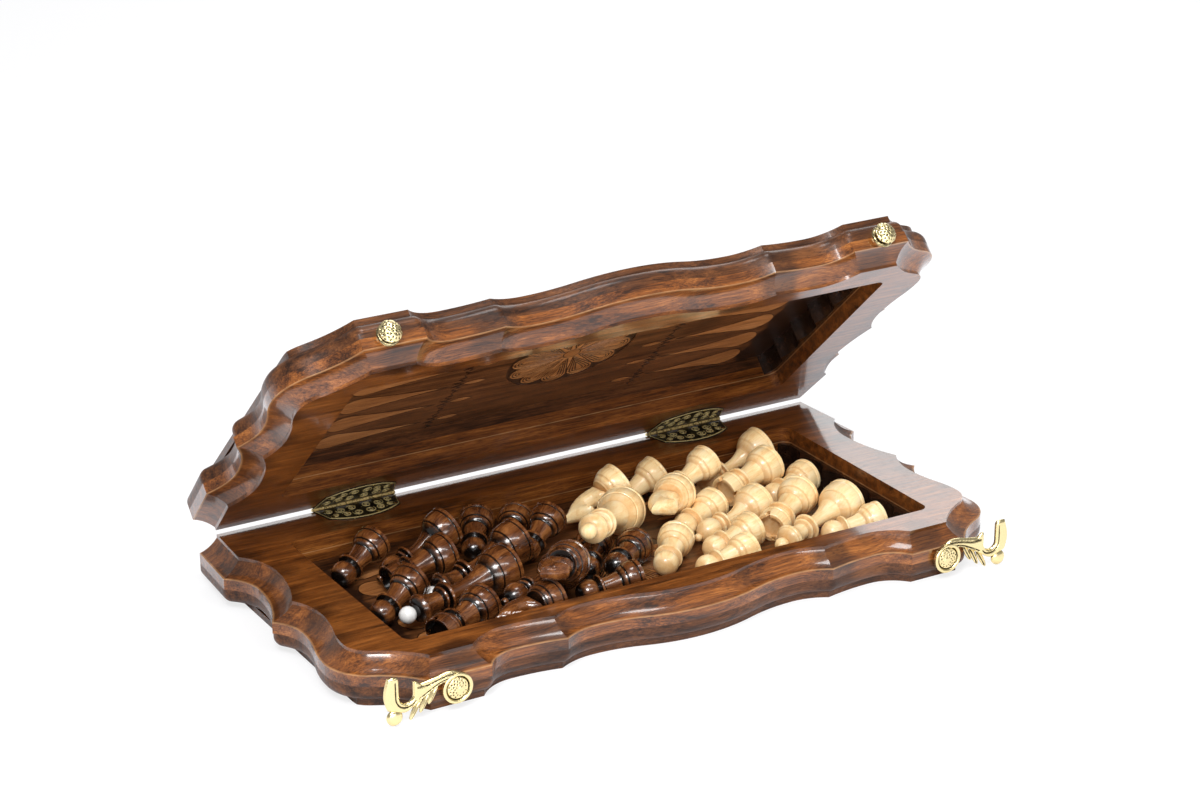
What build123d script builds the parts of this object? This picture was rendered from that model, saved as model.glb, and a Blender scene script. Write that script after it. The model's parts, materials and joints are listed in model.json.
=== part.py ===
from build123d import *

import math
import os

import numpy as np

# Folding game box: a chess board outside, a backgammon board inside, and the chessmen lying in it.
# Millimetres, +Z up. The lower half lies face up on its chess side. The origin is on the resting
# plane, HINGE_Y in front of the hinge edge. +X runs along the hinge and -Y points to the front.
# Outlines in plan are drawn from the middle of the hinge edge, so that y there is a depth, negative
# to the front.

# Each half, in layers from the chess side up
HINGE_Y = 150.0
PANEL_T = 5.5
CORE_T = 13.0
RIM_T = 22.0
FIELD_T = 3.0
HALF_T = PANEL_T + CORE_T + RIM_T

# Carved outline of the inner face: hollows cut into the ends and the front
MOULDING = 15.5
HINGE_END_X = 281.8
HINGE_CORNER_Y = -50.0
BITE_1_DEPTH = 12.7
BITE_1_Y = -88.0
BITE_1_RADII = (54.0, 140.0)
BITE_2_DEPTH = 9.5
BITE_2_FROM_FRONT = 105.5
BITE_2_RADII = (56.0, 114.0)
SHOULDER_IN = 0.9
SHOULDER_R = 74.0
LOBE_R = 24.0
THROAT_R = 90.0
LATCH_FLAT_Y = -283.5
LATCH_FLAT_PAST = 14.0
FRONT_BITE_1_X = 164.0
FRONT_BITE_1_DEPTH = 15.0
FRONT_BITE_1_RADII = (46.0, 194.0)
FRONT_BITE_2_X = 92.0
FRONT_BITE_2_DEPTH = 18.5
FRONT_BITE_2_R = 64.5
CREST_IN = 3.5
COVE_QUIRK = 2.8
COVE_BELLY = (6.0, 8.6)
COVE_DROP = 13.0
CORE_CORNER_R = 9.0
CORE_EDGE_R = 8.5

# Chess side
PANEL_OVER = 0.2
PANEL_IN = 7.0
PANEL_CORNER_R = 45.0
SQUARE = 54.0
VENEER_T = 0.8
BORDER_W = 4.0

# Backgammon side
END_WALL = 43.2
HINGE_WALL = 44.1
FRONT_WALL = 29.9
RECESS_CORNER_R = 8.0
FIELD_FIT = 0.1
WELLS = 6
WELL_R = 24.0
STRIP_H = 18.0
STRIP_W = 10.0
STRIP_TROUGH_W = 2.6
SPIRE_TIP_IN = 36.6
SPIRE_WIDE_IN = 54.6
SPIRE_POINT_X = 106.0
SPIRE_W = 28.0
MEDALLION_R = 56.6
MEDALLION_T = 1.2
MEDALLION_BOSS_R = 7.5
MEDALLION_PETALS = 12
PETAL_GROOVE_W = 2.0

# Hinges
GAP = 2.6
PIN_R = 0.7
PIN_PLAY = 0.05
PIN_HEAD_R = 1.2
PIN_HEAD_T = 0.8
HINGE_X = 159.4
HINGE_L = 74.0
KNUCKLES = 7
KNUCKLE_GAP = 0.3
LEAF_T = 0.8
LEAF_END_DEPTH = 21.0
LEAF_MID_DEPTH = 31.0
LEAF_CORNER = 5.0
NAIL_R = 0.9
NAIL_HEAD_R = 1.7
NAIL_HEAD_T = 0.4
NAIL_L = 9.0
OPEN_ANGLE = 42.9

# Latches
LATCH_X = 220.0
PIVOT_BELOW = 22.6
KNOB_ABOVE = 21.0
HOOK_T = 2.4
HOOK_PLAY = 0.1
SCROLL_R = 12.3
SCROLL_CENTRE = (-1.6, 1.0)
STUD_R = 9.1
STUD_DOME = 1.8
PIVOT_R = 2.0
PIVOT_PLAY = 0.06
PIVOT_HEAD_R = 3.6
PIVOT_HEAD_T = 1.4
PIVOT_L = 14.0
WASHER_R = 6.0
WASHER_T = 2.4
CRADLE_X = -43.3
CRADLE_Z = 5.3
CRADLE_R = 6.0
LIP_Z = 15.0
HORN_Z = 22.1
BALL_R = 6.3
BALL_BELOW = 10.4
LEAF_STROKE_W = 4.2
LEAF_STROKES = [((-17.8, 8.2), (-25.4, -6.3)), ((-24.2, 5.2), (-32.3, -11.5)), ((-31.0, 1.3), (-40.6, -15.4))]
KNOB_NECK_R = 3.7
KNOB_COLLAR_R = 9.4
KNOB_COLLAR_T = 2.2
KNOB_HEAD_R = 9.5
KNOB_HEAD_T = 6.5
KNOB_SHANK_R = 1.8
KNOB_SHANK_L = 14.0
KNOB_PLAY = 0.6

# Chessmen
PAWN_FOOT_R = 15.0
ROOK_FOOT_R = 17.0
KNIGHT_FOOT_R = 17.5
BISHOP_FOOT_R = 17.5
QUEEN_FOOT_R = 19.0
KING_FOOT_R = 20.0
QUEEN_BALL_R = 6.0
KING_BALL_R = 7.0
HORSE_T = 15.0
REST_GAP = 0.3
CELL = 1.0
GRID_X = 320.0
GRID_Y = 200.0

# Where the men lie, in the order that they go in: colour, kind, hundredths of the tray to the right
# and to the back of its middle, the way that the head points (degrees from +X), and how many degrees
# the head is raised from where it would lie on a flat floor
MEN = [
    ("light", "bishop", 84, 82, -173, -12),
    ("light", "pawn", 90, 36, -162, 0),
    ("light", "pawn", 57, 68, -163, -12),
    ("light", "pawn", 40, 83, -172, -18),
    ("light", "knight", 20, 66, -174, -6),
    ("light", "pawn", 38, -63, -173, 0),
    ("light", "pawn", 90, -67, 176, 0),
    ("light", "queen", 87, -30, -158, 0),
    ("dark", "pawn", -6, -63, 176, 0),
    ("dark", "rook", -60, -47, -155, 0),
    ("dark", "pawn", -71, 85, -153, -12),
    ("dark", "pawn", -31, 91, -121, -6),
    ("dark", "pawn", -17, 84, -132, 0),
    ("dark", "pawn", -10, 57, -145, -12),
    ("dark", "bishop", -47, 69, -166, -12),
    ("light", "pawn", 22, -14, -133, 0),
    ("dark", "pawn", -4, 12, -127, 0),
    ("dark", "pawn", 7, -10, -142, 6),
    ("dark", "queen", -31, 22, -166, -6),
    ("light", "rook", 78, 50, -164, -6),
    ("light", "pawn", 48, -31, -167, 0),
    ("light", "rook", 75, -5, -148, -6),
    ("light", "pawn", 48, 26, -155, 0),
    ("light", "bishop", 61, 6, -164, 0),
    ("light", "king", 14, 38, -136, 18),
    ("light", "knight", 36, 39, -140, 24),
    ("dark", "king", -43, -12, -167, 0),
    ("dark", "rook", -54, 39, -171, -6),
    ("dark", "pawn", -74, 6, -152, -12),
    ("dark", "bishop", -25, -24, -156, 6),
    ("dark", "knight", -40, -70, -166, 18),
    ("dark", "knight", -28, -47, -141, 30),
]

# Places worked out from the sizes above
BITE_1_DEEPEST = (HINGE_END_X - BITE_1_DEPTH, BITE_1_Y)
BITE_2_DEEPEST = (HINGE_END_X - BITE_2_DEPTH, LATCH_FLAT_Y + BITE_2_FROM_FRONT)
SHOULDER_X = HINGE_END_X - SHOULDER_IN
LATCH_FLAT_END = LATCH_X + LATCH_FLAT_PAST
FRONT_BITE_1_DEEPEST = (FRONT_BITE_1_X, LATCH_FLAT_Y + FRONT_BITE_1_DEPTH)
FRONT_BITE_2_DEEPEST = (FRONT_BITE_2_X, LATCH_FLAT_Y + FRONT_BITE_2_DEPTH)
CREST_Y = LATCH_FLAT_Y + CREST_IN
PANEL_X = HINGE_END_X + PANEL_OVER
RECESS_X = HINGE_END_X - END_WALL
RECESS_BACK_Y = -HINGE_WALL
RECESS_FRONT_Y = LATCH_FLAT_Y + FRONT_WALL
SPIRE_TIP_X = RECESS_X - SPIRE_TIP_IN
SPIRE_WIDE_X = RECESS_X - SPIRE_WIDE_IN
FACE_Z = HALF_T
PIN_Y = HINGE_Y + GAP / 2
PIN_Z = FACE_Z + GAP / 2
FLOOR_Z = PANEL_T + FIELD_T
FRONT_Y = HINGE_Y + LATCH_FLAT_Y - MOULDING
RECESS_MID_Y = (RECESS_BACK_Y + RECESS_FRONT_Y) / 2
RECESS_DEPTH_Y = RECESS_BACK_Y - RECESS_FRONT_Y
WELL_PITCH = RECESS_DEPTH_Y / WELLS
PIN_AXIS = Axis((0, PIN_Y, PIN_Z), (1, 0, 0))


# Outline geometry: straights and arcs, each of which can be moved outward by a distance

class Straight:
    def __init__(self, point, normal):
        self.point = point
        self.normal = normal

    def moved(self, out):
        return Straight((self.point[0] + out * self.normal[0], self.point[1] + out * self.normal[1]), self.normal)


class Round:
    """An arc: hollow where its centre lies outside the board, otherwise bulging."""

    def __init__(self, centre, radius, hollow):
        self.centre = centre
        self.radius = radius
        self.hollow = hollow

    def moved(self, out):
        return Round(self.centre, self.radius - out if self.hollow else self.radius + out, self.hollow)


def circles_meet(a, b, near):
    dx = b.centre[0] - a.centre[0]
    dy = b.centre[1] - a.centre[1]
    gap = math.hypot(dx, dy)
    along = (a.radius**2 - b.radius**2 + gap**2) / (2 * gap)
    rise_squared = a.radius**2 - along**2
    rise = math.sqrt(rise_squared) if rise_squared > 1e-6 else 0.0
    foot = (a.centre[0] + along * dx / gap, a.centre[1] + along * dy / gap)
    ends = [(foot[0] - side * rise * dy / gap, foot[1] + side * rise * dx / gap) for side in (1, -1)]
    return min(ends, key=lambda p: math.dist(p, near))


def line_meets_circle(line, arc, near):
    nx, ny = line.normal
    reach = (line.point[0] - arc.centre[0]) * nx + (line.point[1] - arc.centre[1]) * ny
    half = math.sqrt(arc.radius**2 - reach**2)
    foot = (arc.centre[0] + reach * nx, arc.centre[1] + reach * ny)
    ends = [(foot[0] - side * half * ny, foot[1] + side * half * nx) for side in (1, -1)]
    return min(ends, key=lambda p: math.dist(p, near))


def meet(a, b, near):
    if isinstance(a, Straight):
        return line_meets_circle(a, b, near)
    if isinstance(b, Straight):
        return line_meets_circle(b, a, near)
    return circles_meet(a, b, near)


def deepest_pair(deepest, radii, toward):
    """The two hollow arcs of a bite, which share a tangent at its deepest point."""
    arcs = []
    for radius in radii:
        centre = (deepest[0] + toward[0] * radius, deepest[1] + toward[1] * radius)
        arcs.append(Round(centre, radius, True))
    return arcs


def right_half_outline():
    """The segments from the hinge to the middle of the front, and the points where they meet."""
    bite_1a, bite_1b = deepest_pair(BITE_1_DEEPEST, BITE_1_RADII, (1, 0))
    bite_2a, bite_2b = deepest_pair(BITE_2_DEEPEST, BITE_2_RADII, (1, 0))
    corner_x = bite_1a.centre[0] - math.sqrt(bite_1a.radius**2 - (HINGE_CORNER_Y - bite_1a.centre[1]) ** 2)
    run = (corner_x - HINGE_END_X, HINGE_CORNER_Y)
    length = math.hypot(*run)
    end = Straight((HINGE_END_X, 0.0), (-run[1] / length, run[0] / length))

    shoulder_cx = SHOULDER_X - SHOULDER_R
    reach = bite_2b.radius + SHOULDER_R
    shoulder_cy = bite_2b.centre[1] - math.sqrt(reach**2 - (bite_2b.centre[0] - shoulder_cx) ** 2)
    shoulder = Round((shoulder_cx, shoulder_cy), SHOULDER_R, False)
    lobe = Round((SHOULDER_X - LOBE_R, shoulder_cy), LOBE_R, False)
    latch_corner = (LATCH_FLAT_END, LATCH_FLAT_Y)
    around_lobe = Round(lobe.centre, LOBE_R + THROAT_R, False)
    around_corner = Round(latch_corner, THROAT_R, False)
    outside = (SHOULDER_X + THROAT_R, LATCH_FLAT_Y)
    throat = Round(circles_meet(around_lobe, around_corner, outside), THROAT_R, True)
    flat = Straight((0.0, LATCH_FLAT_Y), (0.0, -1.0))

    front_1a, front_1b = deepest_pair(FRONT_BITE_1_DEEPEST, FRONT_BITE_1_RADII, (0, -1))
    rise = FRONT_BITE_2_DEEPEST[1] - CREST_Y
    ogee_r = (FRONT_BITE_2_DEEPEST[0] ** 2 + rise**2) / (4 * rise)
    front_2a, front_2b = deepest_pair(FRONT_BITE_2_DEEPEST, (FRONT_BITE_2_R, ogee_r), (0, -1))
    crest = Round((0.0, CREST_Y + ogee_r), ogee_r, False)

    segments = [end, bite_1a, bite_1b, bite_2a, bite_2b, shoulder, lobe, throat, flat]
    segments += [front_1a, front_1b, front_2a, front_2b, crest]
    inflection = ((FRONT_BITE_2_DEEPEST[0]) / 2, (FRONT_BITE_2_DEEPEST[1] + CREST_Y) / 2)
    near = [
        (corner_x, HINGE_CORNER_Y),
        BITE_1_DEEPEST,
        (SHOULDER_X, (BITE_1_DEEPEST[1] + BITE_2_DEEPEST[1]) / 2),
        BITE_2_DEEPEST,
        (BITE_2_DEEPEST[0], (BITE_2_DEEPEST[1] + shoulder_cy) / 2),
        (SHOULDER_X, shoulder_cy),
        (lobe.centre[0], lobe.centre[1] - LOBE_R),
        latch_corner,
        (FRONT_BITE_1_DEEPEST[0] + FRONT_BITE_1_RADII[0], LATCH_FLAT_Y),
        FRONT_BITE_1_DEEPEST,
        ((FRONT_BITE_1_DEEPEST[0] + FRONT_BITE_2_DEEPEST[0]) / 2, CREST_Y),
        FRONT_BITE_2_DEEPEST,
        inflection,
    ]
    return segments, near


def corner_points(segments, near, out):
    """Where each segment, moved outward, meets the next, with the ends at the hinge and the middle."""
    moved = [segment.moved(out) for segment in segments]
    end = moved[0]
    start = (end.point[0] + end.point[1] * end.normal[1] / end.normal[0], 0.0)
    points = [start]
    for a, b, guess in zip(moved, moved[1:], near):
        points.append(meet(a, b, guess))
    points.append((0.0, moved[-1].centre[1] - moved[-1].radius))
    return moved, points


def edge_between(segment, a, b):
    if isinstance(segment, Straight):
        return Line(a, b)
    cx, cy = segment.centre
    mx = (a[0] + b[0]) / 2 - cx
    my = (a[1] + b[1]) / 2 - cy
    scale = segment.radius / math.hypot(mx, my)
    return ThreePointArc(a, (cx + mx * scale, cy + my * scale), b)


def board_outline(out):
    """The whole outline of a half, moved outward by out, as a face on the hinge edge's axes."""
    segments, near = right_half_outline()
    moved, points = corner_points(segments, near, out)
    edges = []
    for side in (1, -1):
        placed = [(side * x, y) for x, y in points]
        for segment, a, b in zip(moved, placed, placed[1:]):
            if side < 0 and isinstance(segment, Round):
                segment = Round((-segment.centre[0], segment.centre[1]), segment.radius, segment.hollow)
            edges.append(edge_between(segment, a, b))
    edges.append(Line((points[0][0], 0.0), (-points[0][0], 0.0)))
    return make_face(edges)


def cove_section(plane, direction):
    """What the moulding takes off, outward along the plane's x from the face's edge, below its top."""
    over = 2.0
    top = (0.0, over)
    quirk = (0.0, -COVE_QUIRK)
    belly = (direction * COVE_BELLY[0], -COVE_BELLY[1])
    rim = (direction * MOULDING, -COVE_DROP)
    beyond = direction * (MOULDING + over)
    edges = [Line(top, quirk), ThreePointArc(quirk, belly, rim)]
    edges += [Polyline([rim, (beyond, -COVE_DROP), (beyond, over), top])]
    return plane * make_face(edges)


def cove_cutters():
    """One swept piece of waste for each segment of the right half."""
    segments, near = right_half_outline()
    _, inner = corner_points(segments, near, 0.0)
    _, outer = corner_points(segments, near, MOULDING)
    past = 2.0
    cutters = []
    for i, segment in enumerate(segments):
        a, b, c, d = inner[i], inner[i + 1], outer[i], outer[i + 1]
        if isinstance(segment, Straight):
            nx, ny = segment.normal
            heading = (ny, -nx)
            steps = [(p[0] - a[0]) * heading[0] + (p[1] - a[1]) * heading[1] for p in (a, b, c, d)]
            low = min(steps) - past
            high = max(steps) + past
            origin = (a[0] + heading[0] * low, a[1] + heading[1] * low, 0)
            plane = Plane(origin=origin, x_dir=(nx, ny, 0), z_dir=(ny, -nx, 0))
            cutters.append(extrude(cove_section(plane, 1), high - low))
            continue
        cx, cy = segment.centre
        turns = [math.atan2(p[1] - cy, p[0] - cx) for p in (a, b, c, d)]
        turns = [turns[0] + math.remainder(t - turns[0], 2 * math.pi) for t in turns]
        swing = math.copysign(1.0, turns[1] - turns[0])
        extra = past / segment.radius
        first = swing * min(swing * turns[0], swing * turns[2])
        last = swing * max(swing * turns[1], swing * turns[3])
        if abs(turns[2] - turns[0]) > 1e-4:
            first -= swing * extra
        if abs(turns[3] - turns[1]) > 1e-4:
            last += swing * extra
        low, high = min(first, last), max(first, last)
        radial = (math.cos(low), math.sin(low), 0)
        edge = Vector(cx, cy, 0) + Vector(*radial) * segment.radius
        plane = Plane(origin=edge, x_dir=radial, z_dir=(radial[1], -radial[0], 0))
        section = cove_section(plane, -1 if segment.hollow else 1)
        cutters.append(revolve(section, Axis((cx, cy, 0), (0, 0, 1)), math.degrees(high - low)))
    return cutters


# One half, on the hinge edge's axes, with its chess side on z = 0

def recess_window(inset, bottom, top):
    """The recess as a block with round corners, drawn in from its walls by inset."""
    width = 2 * (RECESS_X - inset)
    depth = RECESS_DEPTH_Y - 2 * inset
    shape = Pos(0, RECESS_MID_Y, bottom) * RectangleRounded(width, depth, RECESS_CORNER_R - inset)
    return extrude(shape, top - bottom)


def rim_frame():
    """The upper layer: the carved outline with the cove moulding, open over the recess."""
    block = extrude(Pos(0, 0, FACE_Z - RIM_T) * board_outline(MOULDING), RIM_T)
    cutters = cove_cutters()
    waste = Pos(0, 0, FACE_Z) * cutters[0].fuse(*cutters[1:])
    block = block - waste - mirror(waste, Plane.YZ)
    return block - recess_window(0.0, FACE_Z - RIM_T - 1, FACE_Z + 1)


def core_frame():
    """The middle layer: the same outline with its corners and lower edge rounded over."""
    block = extrude(Pos(0, 0, PANEL_T) * board_outline(MOULDING), CORE_T)
    corners = [e for e in block.edges().filter_by(Axis.Z) if e.center().Y < -1.0]
    smooth = smooth_corners()
    sharp = [e for e in corners if not any(math.dist((abs(e.center().X), e.center().Y), p) < 0.01 for p in smooth)]
    block = fillet(sharp, CORE_CORNER_R)
    lower = block.edges().filter_by(lambda e: abs(e.center().Z - PANEL_T) < 1e-3 and e.center().Y < -1.0)
    block = fillet(lower, CORE_EDGE_R)
    return block - recess_window(0.0, PANEL_T - 1, PANEL_T + CORE_T + 1)


def smooth_corners():
    """The outer outline's points where one arc runs into the next without a corner."""
    segments, near = right_half_outline()
    _, inner = corner_points(segments, near, 0.0)
    _, outer = corner_points(segments, near, MOULDING)
    return [o for i, o in zip(inner, outer) if abs(math.dist(i, o) - MOULDING) < 0.01]


def squares(dark):
    """The squares of one colour, four rows of eight from the hinge edge."""
    solids = []
    for row in range(4):
        for column in range(8):
            if (row + column) % 2 == (0 if dark else 1):
                x = (column - 3.5) * SQUARE
                y = -(row + 0.5) * SQUARE
                solids.append(Pos(x, y, VENEER_T / 2) * Box(SQUARE, SQUARE, VENEER_T))
    return Compound(solids)


def border_inlay():
    """The line round the squares, on the three sides that don't meet the hinge."""
    inner_x = 4 * SQUARE
    inner_y = 4 * SQUARE
    outer = Pos(0, -(inner_y + BORDER_W) / 2, VENEER_T / 2) * Box(2 * (inner_x + BORDER_W), inner_y + BORDER_W, VENEER_T)
    inner = Pos(0, -inner_y / 2, VENEER_T / 2) * Box(2 * inner_x, inner_y, 2 * VENEER_T)
    return outer - inner


def chess_panel():
    """The outer panel: straight ends, a waved front inside the core's, and a pocket for the veneers."""
    depth = MOULDING - PANEL_IN - LATCH_FLAT_Y
    sheet = Pos(0, -depth / 2, PANEL_T / 2) * Box(2 * PANEL_X, depth, PANEL_T)
    front = [e for e in sheet.edges().filter_by(Axis.Z) if e.center().Y < -depth / 2]
    waved = extrude(board_outline(MOULDING - PANEL_IN), PANEL_T)
    ends = Pos(0, RECESS_FRONT_Y / 2, PANEL_T / 2) * Box(2 * PANEL_X, -RECESS_FRONT_Y, PANEL_T)
    sheet = fillet(front, PANEL_CORNER_R) & (waved + ends)
    pocket_y = 4 * SQUARE + BORDER_W
    pocket = Pos(0, -pocket_y / 2, VENEER_T / 2) * Box(2 * pocket_y, pocket_y, VENEER_T)
    return sheet - pocket


def well_centre_y(i):
    return RECESS_BACK_Y - (i + 0.5) * WELL_PITCH


def spire():
    """One long inlaid point of the backgammon board, toward the middle from the right-hand end."""
    tip = (SPIRE_TIP_X, 0.0)
    up = (SPIRE_WIDE_X, SPIRE_W / 2)
    down = (SPIRE_WIDE_X, -SPIRE_W / 2)
    point = (SPIRE_POINT_X, 0.0)
    belly_x = (SPIRE_WIDE_X + SPIRE_POINT_X) / 2
    belly = SPIRE_W / 4 - 1.5
    edges = [ThreePointArc(up, tip, down)]
    edges += [ThreePointArc(down, (belly_x, -belly), point)]
    edges += [ThreePointArc(point, (belly_x, belly), up)]
    return extrude(make_face(edges), VENEER_T)


def spires():
    one = Pos(0, 0, FLOOR_Z - VENEER_T) * spire()
    solids = []
    for i in range(WELLS):
        right = Pos(0, well_centre_y(i), 0) * one
        solids += [right, mirror(right, Plane.YZ)]
    return Compound(solids)


def medallion():
    """The round carved centre, let into the field, with a boss and grooves between its petals."""
    disc = Pos(0, RECESS_MID_Y, FLOOR_Z - MEDALLION_T / 2) * Cylinder(MEDALLION_R, MEDALLION_T)
    ring = Cylinder(MEDALLION_BOSS_R + PETAL_GROOVE_W, MEDALLION_T) - Cylinder(MEDALLION_BOSS_R, MEDALLION_T)
    groove_l = MEDALLION_R - MEDALLION_BOSS_R - 4 * PETAL_GROOVE_W
    groove_mid = MEDALLION_BOSS_R + PETAL_GROOVE_W / 2 + groove_l / 2
    cuts = [ring]
    for i in range(MEDALLION_PETALS):
        turn = 360 * i / MEDALLION_PETALS
        cuts.append(Rot(0, 0, turn) * Pos(groove_mid, 0, 0) * Box(groove_l, PETAL_GROOVE_W, MEDALLION_T))
    return disc - [Pos(0, RECESS_MID_Y, FLOOR_Z) * cut for cut in cuts]


def field_board():
    """The floor of the recess, with pockets for the spires and the medallion."""
    board = recess_window(FIELD_FIT, PANEL_T, FLOOR_Z)
    board -= spires()
    return board - Pos(0, RECESS_MID_Y, FLOOR_Z - MEDALLION_T / 2) * Cylinder(MEDALLION_R, MEDALLION_T)


def well_strip(side):
    """The ledge along one end of the recess, scooped into six wells for stacks of draughts."""
    x = side * (RECESS_X - STRIP_W / 2)
    strip = Pos(x, RECESS_MID_Y, FLOOR_Z + STRIP_H / 2) * Box(STRIP_W, RECESS_DEPTH_Y, STRIP_H)
    strip = strip & recess_window(FIELD_FIT, FLOOR_Z, FLOOR_Z + STRIP_H)
    scoop_x = side * (RECESS_X - STRIP_TROUGH_W - WELL_R)
    for i in range(WELLS):
        strip -= Pos(scoop_x, well_centre_y(i), FLOOR_Z + STRIP_H / 2) * Cylinder(WELL_R, STRIP_H)
    return strip


# Hinges, on the part's axes with the halves closed. The lid's pieces are the base's, mirrored

def knuckle_span(i):
    pitch = (HINGE_L + KNUCKLE_GAP) / KNUCKLES
    low = -HINGE_L / 2 + i * pitch
    return low, low + pitch - KNUCKLE_GAP


def base_hinge_leaf(side, parity):
    """A leaf screwed to the inner face, with its own knuckles on the pin."""
    barrel_r = GAP / 2
    clear = barrel_r + KNUCKLE_GAP
    inner_y = PIN_Y - math.sqrt(clear**2 - (barrel_r - LEAF_T) ** 2)
    half = HINGE_L / 2
    foot = half - LEAF_CORNER
    corners = [(half, inner_y), (foot, HINGE_Y - LEAF_END_DEPTH)]
    edges = [Line((-half, inner_y), (half, inner_y)), Line(*corners)]
    edges += [ThreePointArc(corners[1], (0, HINGE_Y - LEAF_MID_DEPTH), (-foot, corners[1][1]))]
    edges += [Line((-foot, corners[1][1]), (-half, inner_y))]
    leaf = extrude(Pos(0, 0, FACE_Z) * make_face(edges), LEAF_T)
    for i in range(KNUCKLES):
        if i % 2 != parity:
            continue
        low, high = knuckle_span(i)
        mid = (low + high) / 2
        tube = Pos(mid, PIN_Y, PIN_Z) * Rot(0, 90, 0) * Cylinder(barrel_r, high - low)
        web_w = PIN_Y - inner_y
        web = Pos(mid, inner_y + web_w / 2, FACE_Z + LEAF_T / 2) * Box(high - low, web_w, LEAF_T)
        leaf = leaf + web + tube
    leaf -= Pos(0, PIN_Y, PIN_Z) * Rot(0, 90, 0) * Cylinder(PIN_R + PIN_PLAY, HINGE_L + 2)
    for x, y in nail_places():
        leaf -= Pos(x, y, FACE_Z) * Cylinder(NAIL_R, 4 * LEAF_T)
    return Pos(side * HINGE_X, 0, 0) * leaf


def nail_places():
    """Six nails a leaf, in from its outline."""
    inset = 4.0
    near_y = HINGE_Y - LEAF_END_DEPTH / 3
    far_x = HINGE_L / 2 - LEAF_CORNER - inset
    far_y = HINGE_Y - LEAF_END_DEPTH + inset / 2
    mid_y = HINGE_Y - LEAF_MID_DEPTH + inset
    mid_x = far_x / 3
    return [(side * x, y) for side in (1, -1) for x, y in ((far_x + inset / 2, near_y), (far_x, far_y), (mid_x, mid_y))]


def hinge_nails(side):
    nails = []
    for x, y in nail_places():
        shank = Pos(x, y, FACE_Z + LEAF_T - NAIL_L / 2) * Cylinder(NAIL_R, NAIL_L)
        head = Pos(x, y, FACE_Z + LEAF_T + NAIL_HEAD_T / 2) * Cylinder(NAIL_HEAD_R, NAIL_HEAD_T)
        nails.append(Pos(side * HINGE_X, 0, 0) * (shank + head))
    return nails


def hinge_pin(side):
    """The pin, headed at both ends."""
    reach = HINGE_L / 2 + PIN_PLAY
    pin = Cylinder(PIN_R, 2 * reach)
    for end in (1, -1):
        pin += Pos(0, 0, end * (reach + PIN_HEAD_T / 2)) * Cylinder(PIN_HEAD_R, PIN_HEAD_T)
    return Pos(side * HINGE_X, PIN_Y, PIN_Z) * Rot(0, 90, 0) * pin


# Latches, drawn from the front: x to the right, z up, with y cut inward from the side face

def latch_plate(outline, thickness, out):
    """A flat outline in x and z, standing out from the front by out, with its pivot at the origin."""
    return Pos(0, FRONT_Y - out, 0) * extrude(Plane.XZ * outline, thickness)


def leaf_stroke(top, tip):
    """A narrow leaf from inside the arm down to its tip."""
    length = math.dist(top, tip)
    lean = math.degrees(math.atan2(top[1] - tip[1], top[0] - tip[0]))
    middle = ((top[0] + tip[0]) / 2, (top[1] + tip[1]) / 2)
    return Pos(*middle) * Rot(0, 0, lean) * Ellipse(length / 2, LEAF_STROKE_W / 2)


def hook_outline():
    """The left hook, from its pivot: scroll, arm, cradle with its lip and horn, ball and leaves."""
    right = CRADLE_X + CRADLE_R
    left = CRADLE_X - CRADLE_R
    arm_top = [(2.5, 12.4), (-4.6, 15.8), (-13.5, 15.4), (-20.3, 13.8), (right + 6.0, 12.1)]
    lip = [arm_top[-1], (right + 2.1, LIP_Z), (right, LIP_Z), (right, CRADLE_Z)]
    horn = [(left, CRADLE_Z), (left, HORN_Z - 2.4), (left - 1.6, HORN_Z), (left - 8.7, HORN_Z)]
    back = [horn[-1], (left - 11.1, 13.7), (left - 11.8, 7.2), (left - 10.9, 1.6), (left - 9.1, -3.6)]
    under = [(left + 3.8, -8.0), (right - 4.8, -7.3), (right, -4.5), (-26.8, 1.7), (-15.1, 7.4), (-4.0, 8.9)]
    edges = [Spline(arm_top), Polyline(lip)]
    edges += [ThreePointArc(lip[-1], (CRADLE_X, CRADLE_Z - CRADLE_R), horn[0])]
    edges += [Polyline(horn), Spline(back), Line(back[-1], under[0])]
    edges += [Spline(under), Line(under[-1], arm_top[0])]
    shape = make_face(edges) + Pos(*SCROLL_CENTRE) * Circle(SCROLL_R)
    shape += Pos(left - 3.7, -BALL_BELOW) * Circle(BALL_R)
    for top, tip in LEAF_STROKES:
        shape += leaf_stroke(top, tip)
    return shape - Circle(PIVOT_R + PIVOT_PLAY)


def hook(side):
    plate = latch_plate(hook_outline(), HOOK_T, WASHER_T + HOOK_PLAY)
    front = FRONT_Y - WASHER_T - HOOK_PLAY - HOOK_T
    dome_r = (STUD_R**2 + STUD_DOME**2) / (2 * STUD_DOME)
    slab = Pos(0, front - STUD_DOME / 2, 0) * Rot(90, 0, 0) * Cylinder(STUD_R, STUD_DOME)
    dome = (Pos(0, front - STUD_DOME + dome_r, 0) * Sphere(dome_r)) & slab
    well = Pos(0, front - STUD_DOME, 0) * Rot(90, 0, 0) * Cylinder(PIVOT_HEAD_R + PIVOT_PLAY * 5, 2 * STUD_DOME)
    shape = plate + dome - well
    bore = Pos(0, front, 0) * Rot(90, 0, 0) * Cylinder(PIVOT_R + PIVOT_PLAY, 4 * HOOK_T)
    shape -= bore
    if side > 0:
        shape = mirror(shape, Plane.YZ)
    return Pos(side * LATCH_X, 0, FACE_Z - PIVOT_BELOW) * shape


def turned_forward(x, z, stations):
    """A piece turned on an axis that points out of the front; stations are (distance out, radius)."""
    outline = [(0.0, stations[0][0])] + [(r, out) for out, r in stations] + [(0.0, stations[-1][0])]
    face = make_face(Polyline([(r, out) for r, out in outline], close=True))
    turned = revolve(Plane.XZ * face, Axis.Z)
    return Pos(x, FRONT_Y, z) * Rot(90, 0, 0) * turned


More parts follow.
